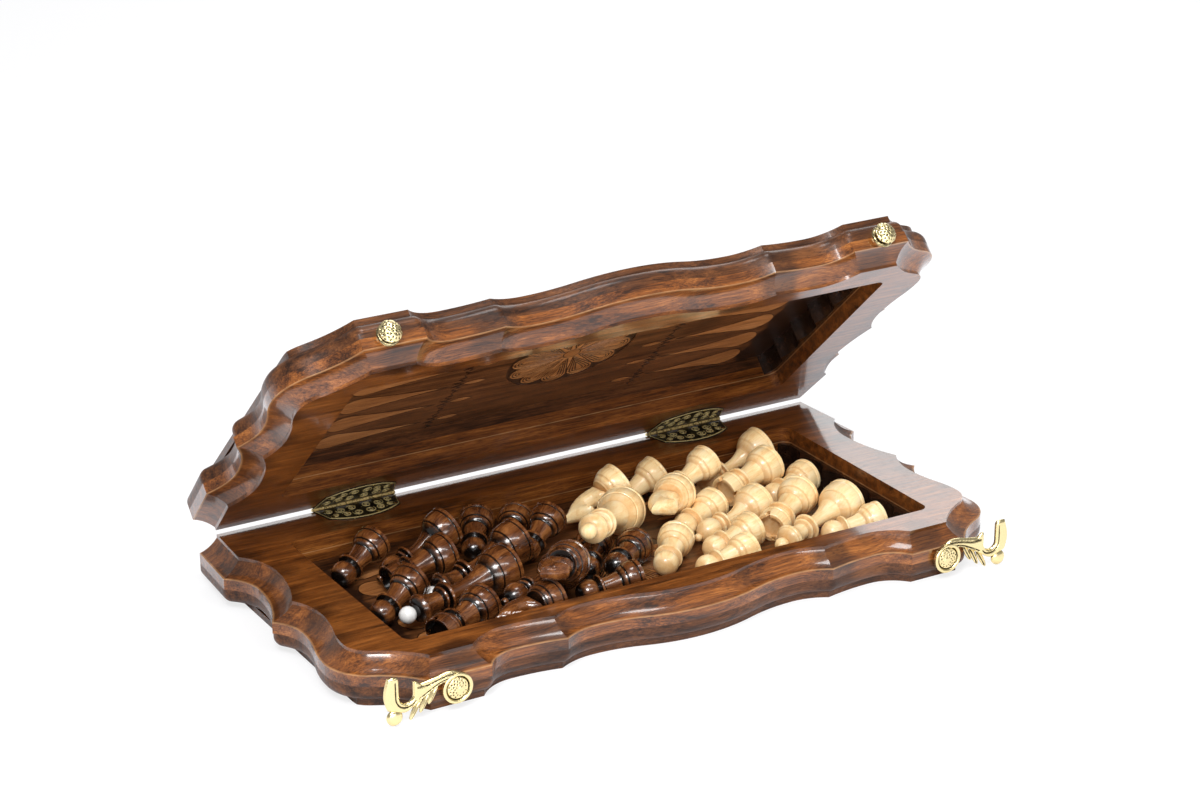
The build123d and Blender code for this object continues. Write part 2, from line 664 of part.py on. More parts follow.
def hook_washer(side):
    ring = Pos(0, -WASHER_T / 2, 0) * Rot(90, 0, 0) * (Cylinder(WASHER_R, WASHER_T) - Cylinder(PIVOT_R, WASHER_T))
    return Pos(side * LATCH_X, FRONT_Y, FACE_Z - PIVOT_BELOW) * ring


def hook_pivot(side):
    """The screw that the hook turns on."""
    seat = WASHER_T + 2 * HOOK_PLAY + HOOK_T
    shape = [(-PIVOT_L, PIVOT_R), (seat, PIVOT_R), (seat, PIVOT_HEAD_R)]
    shape += [(seat + PIVOT_HEAD_T / 2, PIVOT_HEAD_R), (seat + PIVOT_HEAD_T, PIVOT_HEAD_R / 2)]
    return turned_forward(side * LATCH_X, FACE_Z - PIVOT_BELOW, shape)


def latch_knob(side):
    """The stud on the lid that the cradle goes behind, with the lid closed."""
    neck_end = WASHER_T + HOOK_PLAY + HOOK_T + KNOB_PLAY
    shape = [(-KNOB_SHANK_L, KNOB_SHANK_R), (0, KNOB_SHANK_R), (0, KNOB_COLLAR_R), (KNOB_COLLAR_T, KNOB_COLLAR_R - 1)]
    shape += [(KNOB_COLLAR_T, KNOB_NECK_R), (neck_end, KNOB_NECK_R), (neck_end, KNOB_HEAD_R - 1)]
    shape += [(neck_end + 1.5, KNOB_HEAD_R), (neck_end + 3.2, KNOB_HEAD_R - 1.6)]
    shape += [(neck_end + KNOB_HEAD_T, KNOB_HEAD_R / 3)]
    return turned_forward(side * LATCH_X, FACE_Z + GAP + KNOB_ABOVE, shape)


# Chessmen. A profile runs from the middle of the foot to the top: a pair is the end of a straight,
# and two pairs are an arc's middle and end. Each pair is (distance along the axis, radius). The foot
# that all the men share ends with its dome, which is step DOME_STEP
DOME_STEP = 4

def foot_profile(radius, dome_h, shaft_r):
    """The foot that all the men share: rim, groove and a dome up to the shaft."""
    return [
        [(0.0, radius)],
        [(3.4, radius)],
        [(4.2, radius - 1.2)],
        [(5.0, radius - 0.6)],
        [(5.0 + 0.62 * (dome_h - 5.0), radius - 0.34 * (radius - shaft_r)), (dome_h, shaft_r)],
    ]


def ball_profile(neck, radius, middle, flat=0.0):
    """A ball's outline from the neck's radius to its top, or to a flat of that radius."""
    top = middle + math.sqrt(radius**2 - flat**2)
    end = [(middle, radius), (top, flat)]
    return [[(middle - math.sqrt(radius**2 - neck**2), neck)], end]


def pawn_profile():
    shaft = [[(24.0, 8.4), (33.0, 7.6)], [(33.4, 11.6)], [(36.0, 11.6)]]
    return foot_profile(PAWN_FOOT_R, 15.0, 10.4) + shaft + ball_profile(7.4, 10.4, 44.6)


def rook_profile():
    shaft = [[(26.0, 9.6), (37.0, 8.8)], [(37.4, 13.0)], [(40.0, 13.0)], [(41.0, 10.0)]]
    crown = [[(44.0, 10.6), (47.0, 13.4)], [(59.0, 13.4)], [(59.0, 10.2)], [(54.5, 10.2)], [(54.5, 0.0)]]
    return foot_profile(ROOK_FOOT_R, 16.0, 11.6) + shaft + crown


def knight_profile():
    return foot_profile(KNIGHT_FOOT_R, 17.0, 12.6) + [[(19.0, 12.0)], [(19.0, 0.0)]]


def bishop_profile():
    shaft = [[(28.0, 6.6), (45.0, 5.2)], [(45.4, 10.4)], [(47.6, 10.4)], [(48.6, 6.2)], [(50.0, 8.8)]]
    mitre = [[(51.6, 8.8)], [(52.6, 6.0)], [(60.5, 10.4), (73.0, 3.6)]]
    return foot_profile(BISHOP_FOOT_R, 18.0, 10.4) + shaft + mitre + ball_profile(2.2, 3.4, 76.0)


def queen_profile():
    shaft = [[(33.0, 7.6), (57.0, 6.0)], [(57.5, 11.8)], [(60.0, 11.8)], [(61.0, 7.0)], [(62.5, 9.8)]]
    crown = [[(64.0, 9.8)], [(65.0, 6.8)], [(73.0, 7.6), (82.0, 12.4)], [(84.0, 12.0)], [(87.6, 9.0), (89.0, 3.0)]]
    return foot_profile(QUEEN_FOOT_R, 20.0, 11.6) + shaft + crown + [[(89.0, 0.0)]]


def king_profile():
    shaft = [[(36.0, 8.2), (63.0, 6.6)], [(63.5, 12.4)], [(66.2, 12.4)], [(67.2, 7.4)], [(68.8, 10.4)]]
    crown = [[(70.4, 10.4)], [(71.4, 7.2)], [(80.0, 8.4), (90.0, 12.2)], [(91.6, 12.2)], [(95.4, 8.6), (97.0, 3.2)]]
    return foot_profile(KING_FOOT_R, 21.0, 12.4) + shaft + crown + [[(97.0, 0.0)]]


PROFILES = {
    "pawn": pawn_profile(),
    "rook": rook_profile(),
    "knight": knight_profile(),
    "bishop": bishop_profile(),
    "queen": queen_profile(),
    "king": king_profile(),
}


def finial_profile(kind, radius):
    """The ball on a crown, from the small flat that the crown ends in."""
    seat, foot = PROFILES[kind][-2][-1]
    middle = seat + math.sqrt(radius**2 - foot**2)
    return [[(seat, foot)], [(middle, radius), (middle + radius, 0.0)]]


FINIALS = {"queen": finial_profile("queen", QUEEN_BALL_R), "king": finial_profile("king", KING_BALL_R)}


def profile_edges(profile):
    """The profile in the XZ plane, from the axis at its start to the axis at its end."""
    start = profile[0][0][0]
    here = (0.0, start)
    edges = []
    for step in profile:
        points = [(r, along) for along, r in step]
        if len(points) == 1:
            edges.append(Line(here, points[0]))
        else:
            edges.append(ThreePointArc(here, *points))
        here = points[-1]
    if here[0] > 0.0:
        edges.append(Line(here, (0.0, here[1])))
        here = (0.0, here[1])
    edges.append(Line(here, (0.0, start)))
    return edges


def turned(profile):
    return revolve(Plane.XZ * make_face(profile_edges(profile)), Axis.Z)


def knight_head_edges():
    """The horse's head in side view, facing +X."""
    back = [(-10.0, 19.0), (-12.4, 32.0), (-9.5, 47.0), (-1.5, 58.0)]
    brow = [(-1.5, 58.0), (-0.5, 62.5), (3.0, 57.0), (9.0, 51.5), (14.5, 43.0)]
    jaw = [(15.5, 38.6), (11.5, 36.4), (6.0, 38.6), (1.5, 37.0)]
    chest = [(1.5, 37.0), (3.5, 31.0), (9.0, 25.5), (10.0, 19.0)]
    edges = [Spline(back), Polyline(brow), Line(brow[-1], jaw[0]), Spline(jaw), Spline(chest)]
    return edges + [Line(chest[-1], back[0])]


def knight_head():
    return Pos(0, HORSE_T / 2, 0) * extrude(Plane.XZ * make_face(knight_head_edges()), HORSE_T)


def man_solid(kind):
    solid = turned(PROFILES[kind])
    if kind == "knight":
        solid = solid + knight_head()
    return solid


def profile_points(profile):
    """Points closely along a profile, as (distance along the axis, radius)."""
    spots = []
    for edge in profile_edges(profile)[:-1]:
        count = max(2, round(edge.length))
        spots += [edge.position_at(i / count) for i in range(count + 1)]
    return [(spot.Y, spot.X) for spot in spots]


def skin_points(kind):
    """Points all over a man's surface, on its own axes."""
    rings = profile_points(PROFILES[kind] + FINIALS.get(kind, []))
    turns = np.radians(np.arange(0, 360, 6))
    skin = [np.column_stack([r * np.cos(turns), r * np.sin(turns), np.full(turns.size, z)]) for z, r in rings]
    if kind == "knight":
        skin.append(head_points())
    return np.vstack(skin)


def head_points():
    """Points over the horse's head: its outline at several widths and its two flat sides."""
    rims = [edge.position_at(i / 20) for edge in knight_head_edges() for i in range(21)]
    rim = np.array([(spot.X, spot.Y) for spot in rims])
    middle = rim.mean(axis=0)
    flat = np.vstack([middle + (rim - middle) * share for share in np.arange(0.1, 1.01, 0.1)])
    sides = [np.column_stack([flat[:, 0], np.full(len(flat), y), flat[:, 1]]) for y in (-HORSE_T / 2, HORSE_T / 2)]
    widths = np.linspace(-HORSE_T / 2, HORSE_T / 2, 15)
    bands = [np.column_stack([rim[:, 0], np.full(len(rim), y), rim[:, 1]]) for y in widths]
    return np.vstack(sides + bands)


# Laying the men in the lower half. Each is let down onto what lies below it, in the order given

def lean(kind):
    """How far the axis dips toward the head of a man that lies on a flat floor, in degrees."""
    foot = PROFILES[kind][0][0][1]
    dome_top = PROFILES[kind][DOME_STEP][-1][0]
    spots = [(z, r) for z, r in profile_points(PROFILES[kind]) if z > dome_top]
    return math.degrees(math.atan(min((foot - r) / z for z, r in spots)))


def man_plane(u, v, heading, pitch, height):
    """The foot's middle and axis: u and v are hundredths of the way from the tray's middle to its walls."""
    x = u / 100 * RECESS_X
    y = HINGE_Y + RECESS_MID_Y + v / 100 * RECESS_DEPTH_Y / 2
    turn = math.radians(heading)
    rise = math.radians(pitch)
    axis = (math.cos(rise) * math.cos(turn), math.cos(rise) * math.sin(turn), math.sin(rise))
    return Plane(origin=(x, y, height), x_dir=(-math.sin(turn), math.cos(turn), 0), z_dir=axis)


def tray_heights():
    """The height of the lower half's floor, ledges and face on a grid of CELL."""
    xs = np.arange(-GRID_X, GRID_X, CELL)
    ys = np.arange(-GRID_Y, GRID_Y, CELL)
    x, y = np.meshgrid(xs, ys, indexing="ij")
    heights = np.full(x.shape, FACE_Z)
    inside = (abs(x) < RECESS_X - CELL) & (abs(y - HINGE_Y - RECESS_MID_Y) < RECESS_DEPTH_Y / 2 - CELL)
    heights[inside] = FLOOR_Z
    heights[inside & (abs(x) > RECESS_X - STRIP_W - CELL)] = FLOOR_Z + STRIP_H
    return heights


def cells(points):
    column = np.floor((points[:, 0] + GRID_X) / CELL).astype(int)
    row = np.floor((points[:, 1] + GRID_Y) / CELL).astype(int)
    return column, row


def dropped(skin, level, heights):
    """A man let straight down at its own slope until it rests on what lies below."""
    frame = np.array([tuple(level.x_dir), tuple(level.y_dir), tuple(level.z_dir)])
    points = skin @ frame + np.array(tuple(level.origin))
    place = cells(points)
    height = (heights[place] - points[:, 2]).max() + REST_GAP
    np.maximum.at(heights, place, points[:, 2] + height)
    return Plane(origin=level.origin + Vector(0, 0, height), x_dir=level.x_dir, z_dir=level.z_dir)


def laid_men():
    """Every man's plane, as (colour, kind, plane)."""
    heights = tray_heights()
    skins = {kind: skin_points(kind) for kind in PROFILES}
    laid = []
    for colour, kind, u, v, heading, raised in MEN:
        level = man_plane(u, v, heading, raised - lean(kind), 0.0)
        laid.append((colour, kind, dropped(skins[kind], level, heights)))
    return laid


def men_nodes():
    solids = {kind: man_solid(kind) for kind in PROFILES}
    balls = {kind: turned(profile) for kind, profile in FINIALS.items()}
    groups = {}
    for colour, kind, plane in laid_men():
        groups.setdefault(f"{colour}_{kind}s", []).append(plane * solids[kind])
        if kind in balls:
            groups.setdefault(f"{colour}_men_finials", []).append(plane * balls[kind])
    return {name.replace("kings", "king").replace("queens", "queen"): Compound(men) for name, men in groups.items()}


# Assembly

def on_base(shape):
    return Pos(0, HINGE_Y, 0) * shape


def opened(shape):
    return shape.rotate(PIN_AXIS, -OPEN_ANGLE)


def across(shape):
    """A base piece's twin on the closed lid."""
    return mirror(shape, Plane.XY.offset(PIN_Z))


def half_pieces():
    return {
        "rim_frame": rim_frame(),
        "core_frame": core_frame(),
        "chess_panel": chess_panel(),
        "dark_squares": squares(True),
        "light_squares": squares(False),
        "border_inlay": border_inlay(),
        "field_board": field_board(),
        "spire_inlays": spires(),
        "medallion": medallion(),
        "well_strip_left": well_strip(-1),
        "well_strip_right": well_strip(1),
    }


def board_nodes():
    nodes = {}
    pieces = half_pieces()
    sides = {"left": -1, "right": 1}
    nails = {side: hinge_nails(side) for side in (-1, 1)}
    drilled = [n for side in (-1, 1) for n in nails[side]]
    pivots = {side: hook_pivot(side) for side in (-1, 1)}
    knobs = {side: latch_knob(side) for side in (-1, 1)}
    for name, piece in pieces.items():
        base = on_base(piece)
        lid = across(base)
        if name == "rim_frame":
            base = base - drilled - list(pivots.values())
            lid = lid - [across(n) for n in drilled] - list(knobs.values())
        if name == "core_frame":
            base = base - list(pivots.values())
            lid = lid - list(knobs.values())
        nodes["base_" + name] = base
        nodes["lid_" + name] = opened(lid)
    for word, side in sides.items():
        nodes["base_hinge_leaf_" + word] = base_hinge_leaf(side, 0)
        nodes["lid_hinge_leaf_" + word] = opened(across(base_hinge_leaf(side, 1)))
        nodes["hinge_pin_" + word] = hinge_pin(side)
        nodes["hook_" + word] = hook(side)
        nodes["hook_washer_" + word] = hook_washer(side)
        nodes["hook_pivot_" + word] = pivots[side]
        nodes["latch_knob_" + word] = opened(knobs[side])
    nodes["base_hinge_nails"] = Compound(drilled)
    nodes["lid_hinge_nails"] = opened(Compound([across(n) for n in drilled]))
    return nodes


def main():
    os.makedirs("parts", exist_ok=True)
    nodes = board_nodes() | men_nodes()
    for name, shape in nodes.items():
        export_step(shape, f"parts/{name}.step")


main()
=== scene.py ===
import json
import math

import bmesh
import bpy
import numpy as np
from mathutils import Matrix, Vector, geometry


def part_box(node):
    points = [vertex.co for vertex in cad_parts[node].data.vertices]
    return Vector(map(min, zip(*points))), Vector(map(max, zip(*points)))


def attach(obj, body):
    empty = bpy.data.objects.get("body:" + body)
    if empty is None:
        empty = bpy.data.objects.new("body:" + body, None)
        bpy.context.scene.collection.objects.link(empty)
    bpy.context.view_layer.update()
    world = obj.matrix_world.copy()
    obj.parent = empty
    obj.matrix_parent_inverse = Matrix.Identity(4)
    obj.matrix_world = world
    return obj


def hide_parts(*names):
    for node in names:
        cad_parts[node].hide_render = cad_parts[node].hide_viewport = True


# Chess and backgammon board, open, with the chessmen lying in the lower half.
# Metres in the scene, in the frame of the CAD model: +X along the hinge, -Y to the front, +Z up.
# Outlines and profiles are written in millimetres and scaled by MM.

MM = 0.001
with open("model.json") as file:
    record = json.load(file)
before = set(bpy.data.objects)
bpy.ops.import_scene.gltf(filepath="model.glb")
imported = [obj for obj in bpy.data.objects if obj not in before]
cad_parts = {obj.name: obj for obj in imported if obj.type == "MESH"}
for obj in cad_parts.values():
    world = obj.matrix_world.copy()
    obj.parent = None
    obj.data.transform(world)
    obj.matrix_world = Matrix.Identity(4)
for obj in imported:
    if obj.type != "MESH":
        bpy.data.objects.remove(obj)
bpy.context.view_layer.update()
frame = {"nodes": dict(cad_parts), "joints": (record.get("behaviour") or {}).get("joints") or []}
nodes = frame["nodes"]
joints = {joint["name"]: joint for joint in frame["joints"]}

PIN = Vector(joints["lid_hinge"]["pos_m"])
OPEN = math.radians(-joints["lid_hinge"]["range_deg"][0])
FACE_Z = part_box("base_rim_frame")[1].z
FLOOR_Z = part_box("base_medallion")[1].z
HINGE_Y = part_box("base_rim_frame")[1].y
MEDALLION_LOW, MEDALLION_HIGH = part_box("base_medallion")
MIDDLE_Y = (MEDALLION_LOW.y + MEDALLION_HIGH.y) / 2
MEDALLION_R = (MEDALLION_HIGH.x - MEDALLION_LOW.x) / 2
RECESS_BACK_Y = HINGE_Y - 44.1 * MM
RECESS_FRONT_Y = HINGE_Y - 253.6 * MM
WELLS = 6
WELL_PITCH = (RECESS_BACK_Y - RECESS_FRONT_Y) / WELLS

# A lid piece is the base's piece mirrored in the plane through the pin, then opened
MIRROR = Matrix.Translation((0, 0, 2 * PIN.z)) @ Matrix.Diagonal((1, 1, -1, 1))
LID = Matrix.Translation(PIN) @ Matrix.Rotation(-OPEN, 4, "X") @ Matrix.Translation(-PIN) @ MIRROR
HALVES = {"base": Matrix.Identity(4), "lid": LID}


# Meshes

def shown(name, data):
    """A new object in the scene."""
    made = bpy.data.objects.new(name, data)
    bpy.context.scene.collection.objects.link(made)
    return made


def smooth_mesh(name, verts, faces, smooth):
    """A mesh from points in millimetres, smooth but for edges sharper than the angle in degrees."""
    mesh = bpy.data.meshes.new(name)
    mesh.from_pydata([tuple(c * MM for c in v) for v in verts], [], faces)
    mesh.validate()
    mesh.shade_smooth()
    mesh.set_sharp_from_angle(angle=math.radians(smooth))
    return mesh


def relief_object(name, mesh, depths, matrix, body, material, smooth=40):
    """A carved piece from a mesh in millimetres, with the depth of each point's hollow, put in its place."""
    data = smooth_mesh(name, *mesh, smooth)
    piece = shown(name, data)
    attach(piece, body)
    layer = data.attributes.new("cavity", "FLOAT", "POINT")
    layer.data.foreach_set("value", [float(d) for d in depths])
    data.materials.append(material)
    data.transform(matrix)
    work = bmesh.new()
    work.from_mesh(data)
    bmesh.ops.recalc_face_normals(work, faces=work.faces)
    work.to_mesh(data)
    work.free()
    return piece


def ridge(distance, reach):
    """1 on a line, falling evenly to 0 at reach from it."""
    return np.clip(1 - distance / reach, 0, 1)


def dome(share):
    """The height of a round dome at a share of its radius."""
    return np.sqrt(np.clip(1 - share**2, 0, 1))


def polar(radius, turn):
    """The point at a radius and a turn round (0, 0)."""
    return radius * math.cos(turn), radius * math.sin(turn)


def arc_points(start, through, end, step=0.5):
    """Points along the arc from start to end, without its start."""
    ax, ay = start
    bx, by = through
    cx, cy = end
    double = 2 * (ax * (by - cy) + bx * (cy - ay) + cx * (ay - by))
    if abs(double) < 1e-9:
        return [end]
    a2, b2, c2 = ax**2 + ay**2, bx**2 + by**2, cx**2 + cy**2
    ux = (a2 * (by - cy) + b2 * (cy - ay) + c2 * (ay - by)) / double
    uy = (a2 * (cx - bx) + b2 * (ax - cx) + c2 * (bx - ax)) / double
    radius = math.dist(start, (ux, uy))
    first = math.atan2(ay - uy, ax - ux)
    middle = math.remainder(math.atan2(by - uy, bx - ux) - first, 2 * math.pi)
    last = math.remainder(math.atan2(cy - uy, cx - ux) - first, 2 * math.pi)
    if middle * last < 0 or abs(middle) > abs(last):
        last -= math.copysign(2 * math.pi, last)
    count = max(3, int(abs(last) * radius / step))
    turns = [first + last * i / count for i in range(1, count + 1)]
    return [(ux + radius * math.cos(t), uy + radius * math.sin(t)) for t in turns]


def blend(t, a, b, c, d):
    """The value between b and c at share t of a smooth curve through all four."""
    bend = 2 * a - 5 * b + 4 * c - d
    twist = 3 * b - a - 3 * c + d
    return 0.5 * (2 * b + (c - a) * t + bend * t * t + twist * t**3)


def curve_through(points, step):
    """A smooth line through the points, with step parts between two of them."""
    count = len(points)
    line = []
    for i in range(count - 1):
        p = [points[min(max(i + k, 0), count - 1)] for k in (-1, 0, 1, 2)]
        for k in range(step):
            t = k / step
            line.append(tuple(blend(t, *four) for four in zip(*p)))
    line.append(tuple(points[-1]))
    return line


# Materials

class Shader:
    """A material's nodes. Sockets are passed from one call to the next."""

    def __init__(self, name):
        self.material = bpy.data.materials.new(name)
        self.material.use_nodes = True
        self.tree = self.material.node_tree
        self.surface = self.tree.nodes["Principled BSDF"]

    def feed(self, socket, value):
        if isinstance(value, bpy.types.NodeSocket):
            self.tree.links.new(value, socket)
        else:
            socket.default_value = value

    def node(self, kind, inputs, **settings):
        node = self.tree.nodes.new("ShaderNode" + kind)
        for key, value in settings.items():
            setattr(node, key, value)
        for key, value in inputs.items():
            self.feed(node.inputs[key], value)
        return node

    def math(self, operation, a, b=0.0):
        return self.node("Math", {0: a, 1: b}, operation=operation).outputs[0]

    def plus(self, a, b):
        return self.math("ADD", a, b)

    def minus(self, a, b):
        return self.math("SUBTRACT", a, b)

    def times(self, a, b):
        return self.math("MULTIPLY", a, b)

    def more(self, a, b):
        return self.math("MAXIMUM", a, b)

    def axes(self, vector):
        return self.node("SeparateXYZ", {0: vector}).outputs

    def distance(self, a, b):
        return self.node("VectorMath", {0: a, 1: b}, operation="DISTANCE").outputs["Value"]

    def place(self):
        return self.node("TexCoord", {}).outputs["Object"]

    def cavity(self):
        return self.node("Attribute", {}, attribute_name="cavity").outputs["Fac"]

    def mix(self, share, a, b):
        return self.node("Mix", {0: share, 6: a, 7: b}, data_type="RGBA").outputs[2]

    def smooth(self, value, low, high):
        inputs = {"Value": value, "From Min": low, "From Max": high}
        return self.node("MapRange", inputs, interpolation_type="SMOOTHSTEP").outputs["Result"]

    def stretched(self, vector, scale):
        return self.node("VectorMath", {0: vector, 1: scale}, operation="MULTIPLY").outputs["Vector"]

    def noise(self, vector, scale, detail=4.0, roughness=0.55, distortion=0.0):
        inputs = {"Vector": vector, "Scale": scale, "Detail": detail, "Roughness": roughness}
        return self.node("TexNoise", inputs | {"Distortion": distortion}).outputs["Fac"]

    def ramp(self, value, stops):
        node = self.node("ValToRGB", {"Fac": value})
        elements = node.color_ramp.elements
        while len(elements) < len(stops):
            elements.new(0.5)
        for element, (place, colour) in zip(elements, stops):
            element.position = place
            element.color = colour
        return node.outputs["Color"]

    def set(self, **values):
        for key, value in values.items():
            self.feed(self.surface.inputs[key.replace("_", " ")], value)

    def bump(self, height, distance, strength=1.0):
        node = self.node("Bump", {"Height": height, "Distance": distance, "Strength": strength})
        self.feed(self.surface.inputs["Normal"], node.outputs["Normal"])


def rgb(red, green, blue):
    """A colour given in 0 to 255, as a screen shows it."""
    values = [channel / 255 for channel in (red, green, blue)]
    linear = [v / 12.92 if v <= 0.04045 else ((v + 0.055) / 1.055) ** 2.4 for v in values]
    return (*linear, 1.0)


def half_place(shader, half):
    """The point on the base half that a point on either half matches."""
    place = shader.place()
    if half == "base":
        return place
    back = LID.inverted()
    inputs = {"Vector": place, "Location": back.translation, "Rotation": (-OPEN, 0, 0), "Scale": (1, 1, -1)}
    return shader.node("Mapping", inputs, vector_type="POINT").outputs["Vector"]


# Where the carving's edges are burnt dark, for x of either sign: (x, y from the hinge edge, radius)
BURNS = [(281, -52, 20), (284, -133, 22), (268, -92, 18), (272, -176, 18), (281, -222, 16), (244, -284, 14)]
BURNS += [(210, -284, 22), (128, -279, 24), (164, -262, 14), (92, -258, 14), (46, -273, 14)]


def burnt(shader, place, spots):
    """How burnt a point is, from 0 to 1, with a ragged border."""
    apart = shader.axes(place)
    along = shader.math("ABSOLUTE", apart["X"])
    folded = shader.node("CombineXYZ", {"X": along, "Y": apart["Y"], "Z": FACE_Z}).outputs[0]
    ragged = shader.times(shader.noise(place, 60, 3), 14 * MM)
    total = 0.0
    for x, y, radius in spots:
        spot = (x * MM, HINGE_Y + y * MM, FACE_Z)
        reach = shader.plus(shader.distance(folded, spot), ragged)
        near = shader.smooth(reach, (radius + 8) * MM, (radius - 7) * MM)
        total = shader.more(near, total)
    return total


# Where the tones of a wood's ramp lie
GRAIN_STOPS = [0.40, 0.47, 0.54, 0.62]


def streaks(shader, place, figure=1.0):
    """Broad and fine streaks of grain along X."""
    broad = shader.noise(shader.stretched(place, (5, 60, 60)), 2.4 * figure, 5, 0.6)
    fine = shader.noise(shader.stretched(place, (14, 420, 420)), 2.0 * figure, 5, 0.7)
    return broad, fine


def wood(name, half, tones, figure=1.0, gloss=0.3, coat=0.5, marks=None):
    """Lacquered wood with its grain along X. Tones run from the darkest streak to the palest."""
    shader = Shader(name)
    place = half_place(shader, half)
    wave = shader.noise(shader.stretched(place, (2.0, 12, 12)), 3 * figure, 3, 0.5)
    shift = shader.node("CombineXYZ", {"X": 0.0, "Y": shader.times(wave, 0.02), "Z": 0.0}).outputs[0]
    grain_at = shader.node("VectorMath", {0: place, 1: shift}, operation="ADD").outputs["Vector"]
    broad, fine = streaks(shader, grain_at, figure)
    flecks = shader.noise(shader.stretched(grain_at, (110, 1500, 1500)), 1.2, 2, 0.5)
    patches = shader.noise(place, 9, 3, 0.5)
    mixed = shader.plus(shader.times(broad, 0.42), shader.times(fine, 0.42))
    mixed = shader.plus(mixed, shader.times(patches, 0.16))
    colour = shader.ramp(mixed, list(zip(GRAIN_STOPS, tones)))
    fleck = shader.smooth(flecks, 0.56, 0.68)
    colour = shader.mix(shader.times(fleck, 0.6), colour, tones[0])
    if marks:
        colour = marks(shader, place, colour)
    shader.set(Base_Color=colour, Roughness=gloss, Specular_IOR_Level=0.25)
    shader.set(Coat_Weight=coat, Coat_Roughness=0.09, Coat_IOR=1.45)
    shader.bump(shader.minus(mixed, shader.times(fleck, 0.4)), 0.0002, 0.4)
    return shader.material


def edge_burns(shader, place, colour):
    share = burnt(shader, place, BURNS)
    return shader.mix(shader.times(share, 0.6), colour, rgb(30, 16, 9))


# The moulding's lower edge lies this far below the inner face
COVE_DROP = 13.0 * MM


def rim_marks(shader, place, colour):
    """Burns at the cusps, and a pale line along the lower edge of the moulding, painted as that edge's wear
    and its highlight.
    """
    colour = edge_burns(shader, place, colour)
    height = shader.axes(place)["Z"]
    off = shader.math("ABSOLUTE", shader.minus(height, FACE_Z - COVE_DROP))
    # The pale line is partly wear and partly a painted highlight along the edge.
    worn = shader.times(shader.smooth(off, 0.55 * MM, 0.2 * MM), shader.noise(place, 70, 3))
    return shader.mix(shader.times(worn, 0.9), colour, rgb(196, 150, 104))


def field_burns(shader, place, colour):
    """The scorched pockets at the ends of the points, with a border of scallops."""
    apart = shader.axes(place)
    along = shader.math("ABSOLUTE", apart["X"])
    row = shader.math("DIVIDE", shader.minus(apart["Y"], RECESS_FRONT_Y), WELL_PITCH)
    across = shader.math("PINGPONG", row, 0.5)
    reach = shader.times(across, 12 * MM)
    ragged = shader.times(shader.noise(place, 90, 3), 8 * MM)
    edge = shader.minus(shader.plus(shader.plus(along, reach), ragged), 206 * MM)
    share = shader.smooth(edge, 0.0, 7 * MM)
    return shader.mix(shader.times(share, 0.85), colour, rgb(24, 14, 11))


def man_wood(name, tones, crevice_shade, hollow, gloss, coat):
    """Turned wood with its grain along the man's own axis, darkened in its crevices as painted shade."""
    shader = Shader(name)
    place = shader.place()
    own = shader.node("ObjectInfo", {}).outputs["Random"]
    offset = shader.node("CombineXYZ", {"X": own, "Y": own, "Z": own}).outputs[0]
    place = shader.node("VectorMath", {0: place, 1: offset}, operation="ADD").outputs["Vector"]
    broad = shader.noise(shader.stretched(place, (90, 90, 14)), 1.6, 4, 0.55, 0.6)
    fine = shader.noise(shader.stretched(place, (900, 900, 60)), 1.3, 3, 0.6)
    mixed = shader.plus(shader.times(broad, 0.65), shader.times(fine, 0.35))
    colour = shader.ramp(mixed, list(zip([0.36, 0.5, 0.64], tones)))
    # Painted shade: each crevice is darkened toward the shade colour by its marked depth.
    cavity = shader.cavity()
    share = shader.times(shader.smooth(cavity, 0.05, 0.9), hollow)
    colour = shader.mix(share, colour, crevice_shade)
    shader.set(Base_Color=colour, Roughness=gloss, Coat_Weight=coat, Coat_Roughness=0.06, Coat_IOR=1.5)
    shader.bump(mixed, 0.0002, 0.25)
    return shader.material


def white_lacquer():
    """Thick white lacquer with a faint unevenness."""
    shader = Shader("white_lacquer")
    place = shader.place()
    uneven = shader.noise(place, 160, 3)
    colour = shader.ramp(uneven, [(0.4, rgb(232, 231, 228)), (0.6, rgb(244, 243, 241))])
    shader.set(Base_Color=colour, Roughness=0.25, Coat_Weight=0.6, Coat_Roughness=0.05)
    shader.bump(uneven, 0.0003, 0.3)
    return shader.material


def carved_wood(name, half, tones, burn):
    """Bare-toned wood whose cuts, marked in the mesh, are burnt dark."""
    shader = Shader(name)
    place = half_place(shader, half)
    broad, fine = streaks(shader, place)
    mixed = shader.plus(shader.times(broad, 0.5), shader.times(fine, 0.5))
    colour = shader.ramp(mixed, list(zip(GRAIN_STOPS, tones)))
    cavity = shader.cavity()
    colour = shader.mix(shader.times(shader.smooth(cavity, 0.05, 0.4), 0.95), colour, burn)
    shader.set(Base_Color=colour, Roughness=0.34, Coat_Weight=0.35, Coat_Roughness=0.1)
    shader.bump(mixed, 0.0002, 0.4)
    return shader.material


def brass(name, bright, dark, worn=0.0, metal=1.0):
    """Antiqued cast brass: dark where the mesh marks a hollow, and in a few stains."""
    shader = Shader(name)
    place = shader.place()
    cavity = shader.cavity()
    patina = shader.noise(place, 300, 5, 0.6)
    stain = shader.times(shader.minus(patina, 0.5), 0.9)
    share = shader.smooth(shader.plus(shader.plus(cavity, stain), worn), 0.15, 0.75)
    shader.bump(patina, 0.0003, 0.3)
    shader.set(Base_Color=shader.mix(share, bright, dark), Metallic=metal, Roughness=0.26)
    return shader.material


